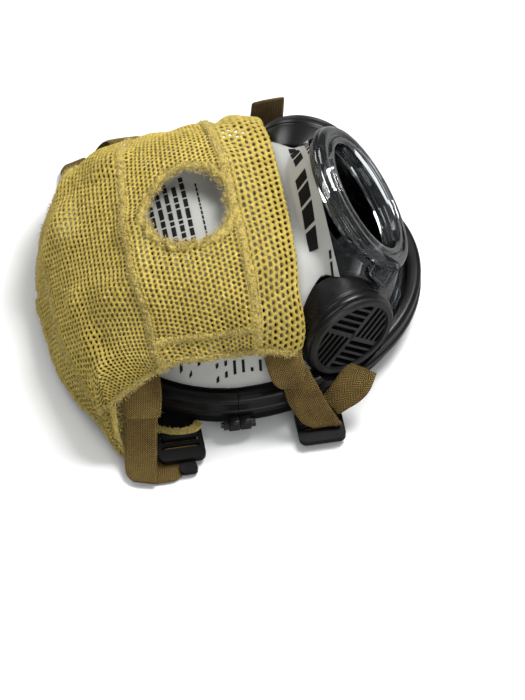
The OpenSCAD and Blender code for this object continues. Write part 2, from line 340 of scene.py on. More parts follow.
def piece(name, mesh, mat, body=None, crease=None, cutters=(), replaces=None,
          fix=True, smooth=True, uv=None):
    """A finished piece of the product. Its slot follows from its material."""
    obj = mesh_object(name, mesh, mat, smooth, uv)
    if fix:
        fix_normals(obj)
    if cutters:
        subtract(obj, cutters)
    if crease:
        crease_above(obj, crease)
    if body:
        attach(obj, body)
    if replaces:
        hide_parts(replaces)
    return obj


def cylinder(name, centre, axis, radius, start, stop):
    """A cutter along axis, from start to stop either side of its centre."""
    across = unit(np.cross(axis, [0, 0, 1.0]))
    along = np.cross(axis, across)
    turn = turns(96)
    circle = radius * (np.cos(turn)[:, None] * across + np.sin(turn)[:, None] * along)
    obj = mesh_object(name, loft([centre + axis * start + circle, centre + axis * stop + circle]), CLEAR)
    fix_normals(obj)
    return obj


def voicemitter_axes(side):
    """Centre and outward axis of a voicemitter."""
    return (VM_CENTRE * [side, 1, 1],
            np.array([side * math.cos(VM_TURN), -math.sin(VM_TURN), 0.0]))


def voicemitter_cutters(radius, start, stop):
    return [cylinder("cut_voicemitter", *voicemitter_axes(side), radius, start, stop)
            for side, _ in SIDES]


# ------------------------------------------------------------------ shader nodes
class Nodes:
    """Adds nodes to one node tree."""

    def __init__(self, tree):
        self.tree = tree

    def add(self, kind, inputs=None, **settings):
        """A new node. An input is a socket to link, a number, or a colour."""
        node = self.tree.nodes.new("ShaderNode" + kind)
        for key, value in settings.items():
            setattr(node, key, value)
        for key, value in (inputs or {}).items():
            if isinstance(value, bpy.types.NodeSocket):
                self.tree.links.new(value, node.inputs[key])
            else:
                node.inputs[key].default_value = (*value, 1) if isinstance(value, tuple) else value
        return node

    def math(self, operation, first, second=None, clamp=False):
        inputs = {0: first} if second is None else {0: first, 1: second}
        return self.add("Math", inputs, operation=operation, use_clamp=clamp).outputs[0]

    def weighted(self, *terms):
        """Sum of (socket, weight) terms."""
        total = None
        for socket, weight in terms:
            part = self.math("MULTIPLY", socket, weight)
            total = part if total is None else self.math("ADD", total, part)
        return total

    def scaled(self, colour, factor):
        return self.add("VectorMath", {0: colour, "Scale": factor}, operation="SCALE").outputs[0]

    def ramp(self, factor, *stops):
        """Colour ramp through (position, colour) stops."""
        node = self.add("ValToRGB")
        elements = node.color_ramp.elements
        while len(elements) < len(stops):
            elements.new(0.5)
        for k, (position, colour) in enumerate(stops):
            elements[k].position = position
            elements[k].color = (*colour, 1.0)
        self.tree.links.new(factor, node.inputs["Fac"])
        return node.outputs["Color"]

    def object_coords(self):
        return self.add("TexCoord").outputs["Object"]

    def noise(self, scale, detail=4, roughness=0.55, coords=None):
        node = self.add("TexNoise", {"Scale": scale, "Detail": detail, "Roughness": roughness})
        self.tree.links.new(coords or self.object_coords(), node.inputs["Vector"])
        return node.outputs["Fac"]

    def painted_occlusion_shade(self, colour, distance, low, power):
        """Paint shade into a colour: darken it, down to low, where its surroundings shadow it closely.
        """
        occlusion = self.add("AmbientOcclusion", {"Distance": distance}, samples=4)
        factor = self.math("POWER", occlusion.outputs["AO"], power)
        factor = self.math("ADD", self.math("MULTIPLY", factor, 1 - low), low, clamp=True)
        return self.scaled(colour, factor)

    def bump(self, height, distance, strength):
        return self.add("Bump", {"Distance": distance, "Strength": strength,
                                 "Height": height}).outputs["Normal"]

    def surface(self, shader):
        self.tree.links.new(shader.outputs[0], self.tree.nodes["Material Output"].inputs["Surface"])

    def principled(self, colour, roughness, bump=None, distance=0.0002, strength=0.5, **inputs):
        """Principled surface. distance (metres) and strength shape the bump."""
        values = {"Base Color": colour, "Roughness": roughness}
        values.update({key.replace("_", " "): value for key, value in inputs.items()})
        shader = self.add("BsdfPrincipled", values)
        if bump is not None:
            self.tree.links.new(self.bump(bump, distance, strength), shader.inputs["Normal"])
        self.surface(shader)
        return shader


def new_material(name):
    mat = bpy.data.materials.new(name)
    mat.use_nodes = True
    mat.node_tree.nodes.clear()
    mat.node_tree.nodes.new("ShaderNodeOutputMaterial")
    return mat, Nodes(mat.node_tree)


def tinted(colour, factor):
    return tuple(channel * factor for channel in colour)


# ------------------------------------------------------------------ materials
def black(name, base, roughness, grain, bump, dust, specular):
    """Black plastic or rubber. grain is the bump's noise scale, dust lightens patches."""
    mat, nodes = new_material(name)
    fine = nodes.noise(grain, detail=3)
    patches = nodes.noise(40, detail=5)
    colour = nodes.ramp(patches, (0.3, (base * 0.8, base * 0.8, base * 0.82)),
                        (0.75, (base * (1 + dust), base * (1 + dust), base * (1.02 + dust))))
    grey = nodes.ramp(patches, (0.3, (roughness * 0.82,) * 3), (0.8, (min(1, roughness * 1.2),) * 3))
    split = nodes.add("SeparateColor", {0: grey})
    nodes.principled(colour, split.outputs[0], fine, distance=0.00012, strength=bump,
                     Specular_IOR_Level=specular, Coat_Roughness=0.2)
    return mat


def yarn(name, shade=1.0):
    """Yellow net yarn, its colours multiplied by shade; below 1 this paints shadow into the colour."""
    mat, nodes = new_material(name)
    coords = nodes.object_coords()
    fine = nodes.noise(2600, 3, 0.6, coords)
    middle = nodes.noise(420, 4, 0.6, coords)
    broad = nodes.noise(26, 3, 0.5, coords)
    mix = nodes.weighted((fine, 0.45), (middle, 0.4), (broad, 0.15))
    colour = nodes.ramp(mix, (0.34, tinted((0.18, 0.120, 0.016), shade)),
                        (0.5, tinted((0.47, 0.350, 0.064), shade)),
                        (0.68, tinted((0.76, 0.60, 0.165), shade)))
    # painted shade: the yarn's colour darkens where nearby yarn shadows it, most in the holes
    colour = nodes.painted_occlusion_shade(colour, distance=0.0022, low=0.16, power=1.25)
    nodes.principled(colour, 0.82, mix, distance=0.0005, strength=0.85, Specular_IOR_Level=0.25,
                     Sheen_Weight=0.16, Sheen_Roughness=0.5, Sheen_Tint=(1.0, 0.85, 0.45))
    return mat


def fuzz(name):
    mat, nodes = new_material(name)
    colour = nodes.ramp(nodes.noise(700, detail=3),
                        (0.3, (0.36, 0.265, 0.055)), (0.7, (0.70, 0.565, 0.18)))
    nodes.principled(colour, 0.85, Specular_IOR_Level=0.2, Sheen_Weight=0.4)
    return mat


def webbing(name):
    """Woven elastic: a fine herringbone on the UV map, which is in mm along and across."""
    rib_pitch = 0.95
    mat, nodes = new_material(name)
    coords = nodes.add("UVMap", uv_map="weave").outputs[0]
    split = nodes.add("SeparateXYZ", {0: coords})
    along, across = split.outputs[0], split.outputs[1]
    zigzag = nodes.math("FRACT", nodes.math("DIVIDE", across, CHEVRON))
    zigzag = nodes.math("ABSOLUTE", nodes.math("SUBTRACT", zigzag, 0.5))
    zigzag = nodes.math("MULTIPLY", zigzag, CHEVRON)
    phase = nodes.math("MULTIPLY", nodes.math("ADD", along, zigzag), 2 * math.pi / WEAVE_PITCH)
    row = nodes.math("SINE", phase)
    rib = nodes.math("SINE", nodes.math("MULTIPLY", across, 2 * math.pi / rib_pitch))
    height = nodes.weighted((row, 0.5), (rib, 0.3))
    coords = nodes.object_coords()
    fine = nodes.noise(1500, 3, 0.6, coords)
    broad = nodes.noise(60, 4, 0.6, coords)
    mix = nodes.math("ADD", nodes.math("MULTIPLY", height, 0.34),
                     nodes.weighted((fine, 0.45), (broad, 0.4)))
    colour = nodes.ramp(mix, (0.26, (0.028, 0.016, 0.0035)), (0.45, (0.108, 0.066, 0.0155)),
                        (0.64, (0.275, 0.187, 0.056)))
    nodes.principled(colour, 0.88, nodes.math("ADD", height, fine), distance=0.00035, strength=0.9,
                     Specular_IOR_Level=0.2, Sheen_Weight=0.06, Sheen_Tint=(0.9, 0.7, 0.4))
    return mat


def clear_plastic(name, tint, roughness, haze):
    """See-through, darker at grazing angles, with Fresnel highlights and a little haze."""
    mat, nodes = new_material(name)
    fresnel = nodes.add("Fresnel", {"IOR": 1.55})
    normal = nodes.bump(nodes.noise(45, detail=1), distance=0.0003, strength=0.22)
    clear = nodes.add("BsdfTransparent")
    edge = nodes.add("LayerWeight", {"Blend": 0.5})
    facing = nodes.math("POWER", edge.outputs["Facing"], 3.6)
    through = nodes.ramp(facing, (0.0, tint), (0.6, tinted(tint, 0.80)), (1.0, tinted(tint, 0.18)))
    nodes.tree.links.new(through, clear.inputs["Color"])
    gloss = nodes.add("BsdfGlossy", {"Roughness": roughness, "Normal": normal})
    milk = nodes.add("BsdfDiffuse", {"Color": (0.55, 0.57, 0.58)})
    body = nodes.add("MixShader", {0: haze, 1: clear.outputs[0], 2: milk.outputs[0]})
    mirror = nodes.math("ADD", nodes.math("MULTIPLY", fresnel.outputs[0], 1.15), 0.005, clamp=True)
    nodes.surface(nodes.add("MixShader", {0: mirror, 1: body.outputs[0], 2: gloss.outputs[0]}))
    return mat


def film(name):
    mat, nodes = new_material(name)
    patches = nodes.noise(35, detail=5)
    fine = nodes.noise(1200, detail=2)
    colour = nodes.ramp(patches, (0.3, (0.335, 0.335, 0.315)), (0.7, (0.395, 0.395, 0.372)))
    # painted shade: the film's colour darkens where the net close above it shadows it
    colour = nodes.painted_occlusion_shade(colour, distance=0.0058, low=0.10, power=1.15)
    nodes.principled(colour, 0.5, fine, distance=0.0001, strength=0.15, Specular_IOR_Level=0.3)
    return mat


def mottled(name, dark, light, roughness, scale, strength, metallic=0.0, distance=0.0002):
    """Two colours mixed by one noise, which also drives the bump."""
    mat, nodes = new_material(name)
    noise = nodes.noise(scale)
    nodes.principled(nodes.ramp(noise, (0.3, dark), (0.7, light)), roughness, noise,
                     distance=distance, strength=strength, Metallic=metallic)
    return mat


YARN = yarn("net_yarn")
# darker copies of the yarn with painted shade, for panels that lie in shadow: the side panel and inner
# flap, and the chin panel
YARN_SHADED_SIDE = yarn("net_yarn_shaded_side", shade=0.80)
YARN_SHADED_CHIN = yarn("net_yarn_shaded_chin", shade=0.86)
FUZZ = fuzz("net_fuzz")
SEAM = mottled("net_seam", dark=(0.28, 0.205, 0.038), light=(0.60, 0.47, 0.125),
               roughness=0.9, scale=900, strength=1.0, distance=0.0008)
WEBBING = webbing("strap_weave")
FRAME = black("frame_plastic", base=0.0042, roughness=0.34, grain=700, bump=0.2, dust=0.6,
              specular=0.30)
VOICEMITTER = black("voicemitter_plastic", base=0.004, roughness=0.30, grain=600, bump=0.15,
                    dust=0.7, specular=0.36)
GRILLE = black("grille_plastic", base=0.0065, roughness=0.42, grain=800, bump=0.3, dust=0.5,
               specular=0.42)
RUBBER = black("seal_rubber", base=0.0042, roughness=0.54, grain=500, bump=0.4, dust=0.8,
               specular=0.21)
CUP = black("cup_rubber", base=0.0032, roughness=0.5, grain=500, bump=0.35, dust=0.6,
            specular=0.24)
BUCKLE = black("buckle_plastic", base=0.0036, roughness=0.40, grain=700, bump=0.2, dust=0.6,
               specular=0.17)
CLEAR = clear_plastic("clear_lens", tint=(0.84, 0.86, 0.87), roughness=0.03, haze=0.010)
PORT = clear_plastic("clear_port", tint=(0.82, 0.84, 0.85), roughness=0.02, haze=0.018)
FILM = film("cover_film")
INK = black("print_ink", base=0.007, roughness=0.8, grain=500, bump=0.1, dust=0.8, specular=0.08)
STEEL = mottled("blackened_steel", dark=(0.03, 0.03, 0.032), light=(0.06, 0.06, 0.063),
                roughness=0.35, scale=900, strength=0.2, metallic=0.9)
DIAPHRAGM = mottled("diaphragm_film", dark=(0.020, 0.018, 0.015), light=(0.036, 0.032, 0.026),
                    roughness=0.3, scale=200, strength=0.1)
VALVE = mottled("valve_rubber", dark=(0.45, 0.33, 0.17), light=(0.56, 0.43, 0.25),
                roughness=0.5, scale=250, strength=0.2)

# materials of each slot; the first one goes on the CAD pieces
SLOTS = {
    "clear_lens": (CLEAR, PORT), "frame_black": (FRAME, VOICEMITTER), "seal_rubber": (RUBBER,),
    "cup_rubber": (CUP,), "valve_rubber": (VALVE,), "grille_black": (GRILLE,),
    "diaphragm_film": (DIAPHRAGM,), "screw_steel": (STEEL,), "cover_sheet": (FILM, INK),
    "net_yellow": (YARN, YARN_SHADED_SIDE, YARN_SHADED_CHIN, FUZZ, SEAM), "strap_brown": (WEBBING,),
    "buckle_black": (BUCKLE,),
}
SLOT_OF = {mat.name: slot for slot, mats in SLOTS.items() for mat in mats}

for part in frame["record"]["subparts"]:
    node = NODES[part["node"]]
    node.data.materials.clear()
    node.data.materials.append(SLOTS[part["material_slot"]][0])
    crease_above(node, 32)

# ------------------------------------------------------------------ lens
# rings of the dome: z, half width, y of the widest line, reach up, reach down, power
LENS_RINGS = [
    (20.0, 77.7, 15.0, 75.7, 100.7, 2.0),
    (28.0, 77.4, 15.0, 75.4, 97.0, 2.0),
    (40.0, 74.6, 13.5, 72.0, 76.0, 2.1),
    (50.0, 71.0, 11.0, 68.0, 66.0, 2.2),
    (62.0, 64.5, 7.0, 61.5, 58.5, 2.3),
    (72.0, 55.5, 2.5, 53.0, 51.0, 2.35),
    (79.0, 43.0, -3.0, 42.0, 43.0, 2.25),
    (82.6, 28.0, -6.0, 28.0, 31.0, 2.1),
    (83.8, 12.0, -7.0, 12.0, 14.0, 2.0),
]
LENS_TOP = (0, -7.2, 83.95)

port_place = placer(PORT_CENTRE, np.array([1.0, 0.0, 0.0]), PORT_UP, PORT_AXIS)


def port_disc(radius, along, out, turn):
    """A circle parallel to the port's face."""
    circle = np.column_stack([radius * np.cos(turn), along + radius * np.sin(turn)])
    return port_place(at_height(circle, out))


def lens_dome(ring_size=120, rings=46):
    turn = turns(ring_size)
    points = [at_height(superegg(*shape, turn), z) for z, *shape in catmull(LENS_RINGS, rings)]
    faces = grid_faces(ring_size, rings)
    last, top = (rings - 1) * ring_size, rings * ring_size
    faces += [(last + i, last + (i + 1) % ring_size, top) for i in range(ring_size)]
    faces.append(tuple(range(ring_size))[::-1])
    return np.concatenate(points + [[LENS_TOP]]), faces


def lens_chin():
    """Hull from the chin edge of the frame up to the port, blending into the dome."""
    chin = np.radians(np.linspace(204, 336, 60))
    turn = turns(80)
    ridge = np.column_stack([30 * np.cos(turn), -30 + 8 * np.sin(turn)])
    return hull(np.concatenate([
        at_height(egg(chin, -6.3), 20), at_height(egg(chin, -6.6), 28),
        port_disc(41.5, 0, -7.0, turn), port_disc(41.2, 0, -5.2, turn), at_height(ridge, 83.2)]))


def trimmed_skin(name, mat, planes):
    """A copy of the lens skin, cut off beyond planes given as (point in mm, normal)."""
    mesh = skin.data.copy()
    mesh.name = name
    bm = bmesh.new()
    bm.from_mesh(mesh)
    for point, normal in planes:
        bmesh.ops.bisect_plane(bm, geom=list(bm.verts) + list(bm.edges) + list(bm.faces),
                               dist=1e-7, plane_co=to_row(point)[0].tolist(), plane_no=normal,
                               clear_outer=True)
    bm.to_mesh(mesh)
    bm.free()
    mesh.materials.clear()
    mesh.materials.append(mat)
    obj = link(bpy.data.objects.new(name, mesh))
    return obj


def finish_skin(obj, replaces):
    crease_above(obj, 40)
    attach(obj, "facepiece")
    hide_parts(replaces)


# one smooth skin that the lens and its cover film are both cut from
skin = mesh_object("lens_skin", join([lens_dome(), lens_chin()]), CLEAR)
fix_normals(skin)
add_modifier(skin, "REMESH", mode="VOXEL", voxel_size=0.0016, use_smooth_shade=True)
add_modifier(skin, "SMOOTH", factor=0.5, iterations=22)
apply_modifiers(skin)
SKIN_TREE = BVHTree.FromPolygons([vert.co.copy() for vert in skin.data.vertices],
                                 [tuple(face.vertices) for face in skin.data.polygons])

lens = trimmed_skin("lens_shell", CLEAR, [((0, 0, 24.6), (0, 0, -1))])
add_modifier(lens, "SOLIDIFY", thickness=0.0023, offset=-1.0)
apply_modifiers(lens)
subtract(lens, [cylinder("cut_port", PORT_CENTRE, PORT_AXIS, PORT_OUTER_R - 0.9, -24, 30)]
         + voicemitter_cutters(VM_RADIUS - 0.6, -45, 20))
finish_skin(lens, "lens")

sheet = trimmed_skin("lens_cover_film", FILM,
                     [((0, 0, 28.8), (0, 0, -1)), ((0, -43.5, 60), (0, -1, 0.15))])
for vert in sheet.data.vertices:
    vert.co += vert.normal * 0.00032        # lifts the film off the lens
add_modifier(sheet, "SOLIDIFY", thickness=0.00026, offset=1.0)
apply_modifiers(sheet)
for cutter in voicemitter_cutters(VM_RADIUS + 0.5, -60, 40):
    subtract(sheet, [cutter])
finish_skin(sheet, "lens_cover_sheet")
bpy.data.objects.remove(skin)

# ------------------------------------------------------------------ port collar and latch socket
# collar section: radius, height along the port axis, corner radius
COLLAR = [
    (31, -11, 0.4), (31, -1.2, 0.8), (32.2, 0, 0.6), (34.6, 0, 0.5), (35.4, -1.6, 0.5),
    (37.0, -1.8, 0.5), (37.8, -0.4, 0.6), (40.6, -0.4, 0.8), (42.6, -2.6, 1.0), (42.6, -4.2, 0.4),
    (43.4, -5.0, 0.5), (43.4, -6.9, 0.6), (41.4, -8.0, 0.5), (40.8, -10.6, 0.8),
    (37.0, -12.2, 0.5), (34.0, -12.6, 0.5),
]
piece("port_collar", lathe(rounded(COLLAR), 160, port_place), PORT, "facepiece", crease=24)

# the socket sits beside the port on the wearer's right and faces outwards
SOCKET_CENTRE = np.array([-44.9, -66.4, 70.2])
SOCKET_AXIS = unit(np.array([-0.72, -0.28, 0.63]))
SOCKET_EDGE = np.array([-5.7778, -8.01985, -3.3572])       # turns the socket about its axis
SOCKET_ACROSS = unit(SOCKET_EDGE - SOCKET_AXIS * (SOCKET_EDGE @ SOCKET_AXIS))
socket_place = placer(SOCKET_CENTRE, SOCKET_ACROSS, np.cross(SOCKET_AXIS, SOCKET_ACROSS),
                      SOCKET_AXIS)
# rounded rectangles: width, height, corner radius, height along the socket axis
SOCKET_RINGS = {
    "latch_socket": [
        (20, 20, 5, -12), (16.6, 17, 4.2, -4.6), (15.4, 16, 3.8, -1.4), (14.6, 15.2, 3.6, -0.3),
        (13.2, 13.8, 3.2, 0), (11.4, 12.0, 2.6, -0.3), (10.4, 11, 2.2, -1.4), (9.2, 9.8, 2, -7),
        (8.4, 9, 2, -7.4)],
    "latch_socket_boss": [
        (5.4, 6.4, 1.6, -7.2), (5.0, 6.0, 1.6, -2.6), (4.2, 5.2, 1.5, -2.0), (2.6, 3.6, 1.0, -2.0),
        (2.2, 3.2, 1.0, -5.0)],
}
for name, table in SOCKET_RINGS.items():
    rings = [socket_place(at_height(rounded_rect(*size), z)) for *size, z in table]
    piece(name, loft(rings), PORT, "facepiece", crease=24)

# ------------------------------------------------------------------ printed bars on the film
PRINT_PITCH = 4.6
# rows of bars: x from, x to, y, bar height, shortest, longest, gap
PRINT_ROWS = [
    (-34, 6, -32.5, 5.2, 6, 10, 1.8),
    (14, 46, -33.0, 4.0, 6, 10, 1.8),
    (12, 44, -37.2, 1.7, 1.4, 2.4, 1.8),
    (-66, -36, -38.6, 1.1, 2, 6, 1.0),
]
PRINT_ROWS += [(-30 + 3 * (k % 2), 34 - 4 * ((k + 1) % 3), 30.6 + PRINT_PITCH * k, 2.3, 2.2, 7.5, 1.1)
               for k in range(6)]
PRINT_ROWS.append((-22, 24, 24.2, 0.9, 1.5, 4.0, 0.8))
PRINT_ROWS += [(-75, -60 + 2 * (k % 3), y, 1.5, 2, 4.5, 0.9)
               for k, y in enumerate(np.arange(-22, 62, PRINT_PITCH))]


def print_bar(x_from, x_to, y_from, y_to):
    """A thin patch over the film, or None where it would miss the lens."""
    columns = max(2, int(abs(x_to - x_from) / 2.0) + 1)
    top, bottom = [], []
    for y in (y_from, y_to):
        for x in np.linspace(x_from, x_to, columns):
            hit, normal, _, _ = SKIN_TREE.ray_cast(Vector(to_row((x, y, 140))[0]),
                                                   Vector((0, 0, -1)))
            if hit is None:
                return None
            point = np.array([hit.x * 1000, hit.y * 1000 - SHIFT_Y, hit.z * 1000])
            top.append(point + np.array(normal) * 0.72)
            bottom.append(point + np.array(normal) * 0.6)
    under = 2 * columns
    faces = []
    for i in range(columns - 1):
        a, b, c, d = i, i + 1, columns + i + 1, columns + i
        faces.append((a, b, c, d))
        faces.append((under + d, under + c, under + b, under + a))
        faces.append((a, under + a, under + b, b))
        faces.append((d, c, under + c, under + d))
    faces.append((0, columns, under + columns, under))
    faces.append((columns - 1, under + columns - 1, under + 2 * columns - 1, 2 * columns - 1))
    return np.array(top + bottom), faces


bars = []
for x, x_to, y, height, shortest, longest, gap in PRINT_ROWS:
    while x < x_to - shortest:
        width = min(x_to - x, rng.uniform(shortest, longest))
        bar = print_bar(x, x + width, y, y + height)
        if bar:
            bars.append(bar)
        x += width + gap
piece("film_print_bars", join(bars), INK, "facepiece", smooth=False)

# ------------------------------------------------------------------ frame halves
# band section: offset from the egg, z, corner radius
BAND = [
    (1.5, 14, 0.9), (1.5, 17.2, 0.6), (0.7, 18.0, 0.4), (0.7, 22.4, 0.4), (1.5, 23.2, 0.6),
    (1.5, 25.4, 0.9), (-0.4, 27, 1.2), (-4.4, 27, 0.8), (-6.05, 26.2, 0.4), (-6.05, 25.4, 0.1),
    (-1.5, 25.4, 0.1), (-1.5, 15.4, 0.1), (-4.4, 15.4, 0.3), (-4.4, 14, 0.3),
]
JOINT_RISE = 5.0                                # of the joint above the egg's widest line
JOINT_Y = CENTRE_Y + JOINT_RISE
JOINT_TURN = math.asin(JOINT_RISE / FOREHEAD_REACH)
JOINT_GAP = 0.0018                              # radians, on each side of the joint
LUG_GAP, LUG_DEPTH = 0.15, 6
LUG_X, LUG_Z = 87.6, 11.2


def frame_lug(name, side, start, stop):
    """A rounded block at the joint, from start to stop along y."""
    outline = rounded_rect(7.2, 7.2, 2.2)
    rings = []
    for y, scale in ((start, 0.94), (start + 0.5, 1.0), (stop - 0.6, 1.0), (stop, 0.9)):
        rings.append(np.column_stack([side * LUG_X + outline[:, 0] * scale,
                                      np.full(len(outline), y), LUG_Z + outline[:, 1] * scale]))
    piece(name, loft(rings), FRAME, "facepiece", crease=50)


def frame_half(name, start, stop, lug_start, lug_stop, cutters=()):
    piece(name + "_band", sweep_egg(rounded(BAND), start, stop, 260), FRAME, "facepiece",
          crease=38, cutters=cutters, replaces=name)
    for side, word in SIDES:
        frame_lug(f"{name}_lug_{word[0]}", side, lug_start, lug_stop)


frame_half("upper_frame", JOINT_TURN + JOINT_GAP, math.pi - JOINT_TURN - JOINT_GAP,
           JOINT_Y + LUG_GAP, JOINT_Y + LUG_DEPTH)
frame_half("lower_frame", -math.pi - JOINT_TURN + JOINT_GAP, JOINT_TURN - JOINT_GAP,
           JOINT_Y - LUG_DEPTH, JOINT_Y - LUG_GAP, voicemitter_cutters(VM_RADIUS + 0.15, -30, 30))

# ------------------------------------------------------------------ face seal
# seal section: offset from the egg, z, corner radius
SEAL = [
    (-1.9, 21.6, 0.3), (-9, 21.6, 1), (-10.5, 16, 1.5), (-14, 9, 2), (-22, 5.4, 2),
    (-29, 4.6, 0.8), (-30.5, 2.6, 0.8), (-28, 0, 1), (-8, 0, 2), (-4.7, 1.2, 1.5), (-3.6, 6, 2),
    (-4.6, 11, 1.5), (-4.9, 15.4, 0.6), (-1.9, 15.8, 0.3),
]
# side view of an ear, x and z: a tongue that ends in a barrel
EAR = [(70, 1.6), (82, 1.6), (84.5, 1.7), (86, 1.8), (88.6, 3), (89.1, 5), (88.6, 7), (86, 8.1),
       (83.4, 7.2), (82, 5.4), (70, 5.4)]
EAR_STATIONS = ((-9.6, 0.93), (-9.1, 1.0), (0, 1.0), (9.1, 1.0), (9.6, 0.93))   # y, scale
# plan of the tab around an ear, x and y
TAB = [(70, -12.4), (80, -12.2), (82.6, -10.6), (82.6, 10.6), (80, 12.2), (70, 12.4)]
TAB_STATIONS = ((1.7, 0.97), (2.1, 1.0), (5.3, 1.0), (5.8, 0.96))               # z, scale of y

piece("face_seal_skin", sweep_egg(rounded(SEAL)), RUBBER, "facepiece", crease=50,
      cutters=voicemitter_cutters(VM_RADIUS + 0.15, -30, 30), replaces="face_seal")
for side, word in SIDES:
    for strap, y in STRAP_Y.items():
        ear = rounded(EAR, 0.8)
        middle = ear.mean(0)
        rings = []
        for step, scale in EAR_STATIONS:
            section = middle + (ear - middle) * scale
            rings.append(np.column_stack([side * section[:, 0], np.full(len(ear), y + step),
                                          section[:, 1]]))
        piece(f"seal_ear_{word[0]}_{strap}", loft(rings), RUBBER, "facepiece", crease=50)
        tab = rounded(TAB, 1.2)
        rings = [at_height(np.column_stack([side * tab[:, 0], y + tab[:, 1] * scale]), z)
                 for z, scale in TAB_STATIONS]
        piece(f"seal_tab_{word[0]}_{strap}", loft(rings), RUBBER, "facepiece", crease=50)


# ------------------------------------------------------------------ nose cup
def nose_cup():
    """A thin bell from an oval foot near the face to a round mouth behind the port."""
    turn = turns(120)

    def foot(half_width, y, up, down, z):
        return at_height(superegg(half_width, y, up, down, 2, turn), z)

    outer = catmull([foot(35, -34, 31, 29, 6.4), foot(34.6, -36, 28, 28, 14),
                     foot(32.6, -39.5, 22, 25.5, 28), port_disc(22.5, -8, -30, turn),
                     port_disc(19.6, -7, -25.5, turn), port_disc(17.6, -7, -24.3, turn)], 34)
    inner = catmull([port_disc(16.2, -7, -25.2, turn), port_disc(17.2, -7, -28.5, turn),
                     foot(30.2, -39.5, 19.6, 23.1, 26), foot(32.2, -36, 25.6, 25.6, 13),
                     foot(32.4, -34, 28.4, 26.4, 7)], 28)
    return loft(outer + inner, close=True)


piece("nose_cup_skin", nose_cup(), CUP, "facepiece", replaces="nose_cup")

# ------------------------------------------------------------------ voicemitters and buckles
# housing section: radius, height along the axis, corner radius
HOUSING = [
    (15, -24, 0.4), (VM_RADIUS, -24, 1.2), (VM_RADIUS, -9.2, 0.3), (27.0, -8.6, 0.2),
    (27.0, -7.6, 0.2), (VM_RADIUS, -7.0, 0.3), (VM_RADIUS, -4.4, 0.9), (26.2, -3.0, 0.6),
    (24.4, -3.0, 0.3), (24.4, -21.5, 0.4), (15, -21.5, 0.4),
]
for side, word in SIDES:
    centre, axis = voicemitter_axes(side)
    up = np.array([0.0, 0.0, 1.0])
    place = placer(centre, np.cross(up, axis), up, axis)
    piece(f"voicemitter_cup_{word}", lathe(rounded(HOUSING), 144, place), VOICEMITTER,
          "facepiece", crease=50, replaces=f"voicemitter_housing_{word}")
    bevel(NODES[f"voicemitter_grille_{word}"], width=0.22, segments=2)
    for strap in STRAP_Y:
        bevel(NODES[f"{strap}_buckle_{word}"], width=0.45, segments=3)
    bevel(NODES[f"temple_strap_tip_{word}"], width=0.6, segments=3)

# ------------------------------------------------------------------ head net: its surface
# A place on the net is a span, 0 on the wearer's left to 1 on the right, and a tilt in degrees
# about x, from the forehead (0) over the top (90) to the chin. arc is the angle behind span.
NET_REACH = 94.0
NET_HALF_WIDTH = 81.5
NET_POWER = 2 / 3.2
NET_MORE = 2.0              # extra reach towards the forehead

# low folds: height, waves over the span, degrees of tilt per wave, phase
FOLDS = ((0.9, 2.2, 74, 0.15), (0.7, 4.1, -51, 0.4), (0.5, 7.3, 37, 0.0), (0.4, 1.3, -19, 0.7))
FOLD_GAIN = 1.45
# the net stands up at its seams: tilt, height, width in degrees
RIDGES = ((95, 2.6, 4.5), (58, 2.2, 5.0), (30, 2.6, 6.0))

# pull on the forehead corner at the right: tilt, then shift in x, y, z
FLARE = np.array([
    (8, -11, 6, -12), (22, -17.4, 14.0, -18.5), (27, -13, 21, -9), (33, -4.4, 25, 3),
    (45, -2.5, 17, 7), (60, 2.5, 9, 7), (82, 0, 0, 0),
], float)


def net_radius(arc, tilt):
    reach = NET_REACH + NET_MORE * ease((70 - tilt) / 50)
    return reach * np.abs(np.sin(np.radians(arc))) ** NET_POWER


def taut_net(arc, tilt):
    """The net's surface before folds."""
    radius = net_radius(arc, tilt)
    x = NET_HALF_WIDTH * signed_power(np.cos(np.radians(arc)), NET_POWER)
    angle = np.radians(tilt)
    return np.stack([x, CENTRE_Y + radius * np.cos(angle), radius * np.sin(angle)], -1)


ARCS = np.linspace(25, 155, 1301)
ARC_LENGTHS = run_length(taut_net(ARCS, np.full_like(ARCS, 80.0)))
NET_LENGTH = ARC_LENGTHS[-1]


def span_to_arc(span):
    return np.interp(span * NET_LENGTH, ARC_LENGTHS, ARCS)


def arc_to_span(arc):
    return np.interp(arc, ARCS, ARC_LENGTHS) / NET_LENGTH


def outer_part(span):
    """0 in the middle of the net, 1 towards its sides."""
    return ease((np.abs(span_to_arc(span) - 90) - 30) / 35)


def forehead_edge(span):
    return 5 + 17 * outer_part(span)


def chin_edge(span):
    return 111 + 8 * outer_part(span)


def seam_forehead(span):
    return forehead_edge(span) + 14 - 4 * span


def seam_middle(span):
    return 57.5 + 2.5 * np.cos(3 * span)


def seam_chin(span):
    return 93.0 + 4.0 * (span - 0.3)


def fold_height(span, tilt):
    """Folds and sag, in mm outwards."""
    height = FOLD_GAIN * sum(size * np.sin(2 * math.pi * (waves * span + tilt / period + phase))
                             for size, waves, period, phase in FOLDS)
    for centre, size, width in RIDGES:
        height += size * np.exp(-((tilt - centre) / width) ** 2)
    # a dent by the forehead seam and a flatter one near the top, both towards the right
    height -= 3.2 * np.exp(-((tilt - 17) / 7.0) ** 2) * ease((span - 0.35) / 0.25)
    height -= (1.8 * np.exp(-((tilt - 76) / 10) ** 2) * ease((span - 0.55) / 0.15)
               * ease((0.97 - span) / 0.12))
    return height - 0.6


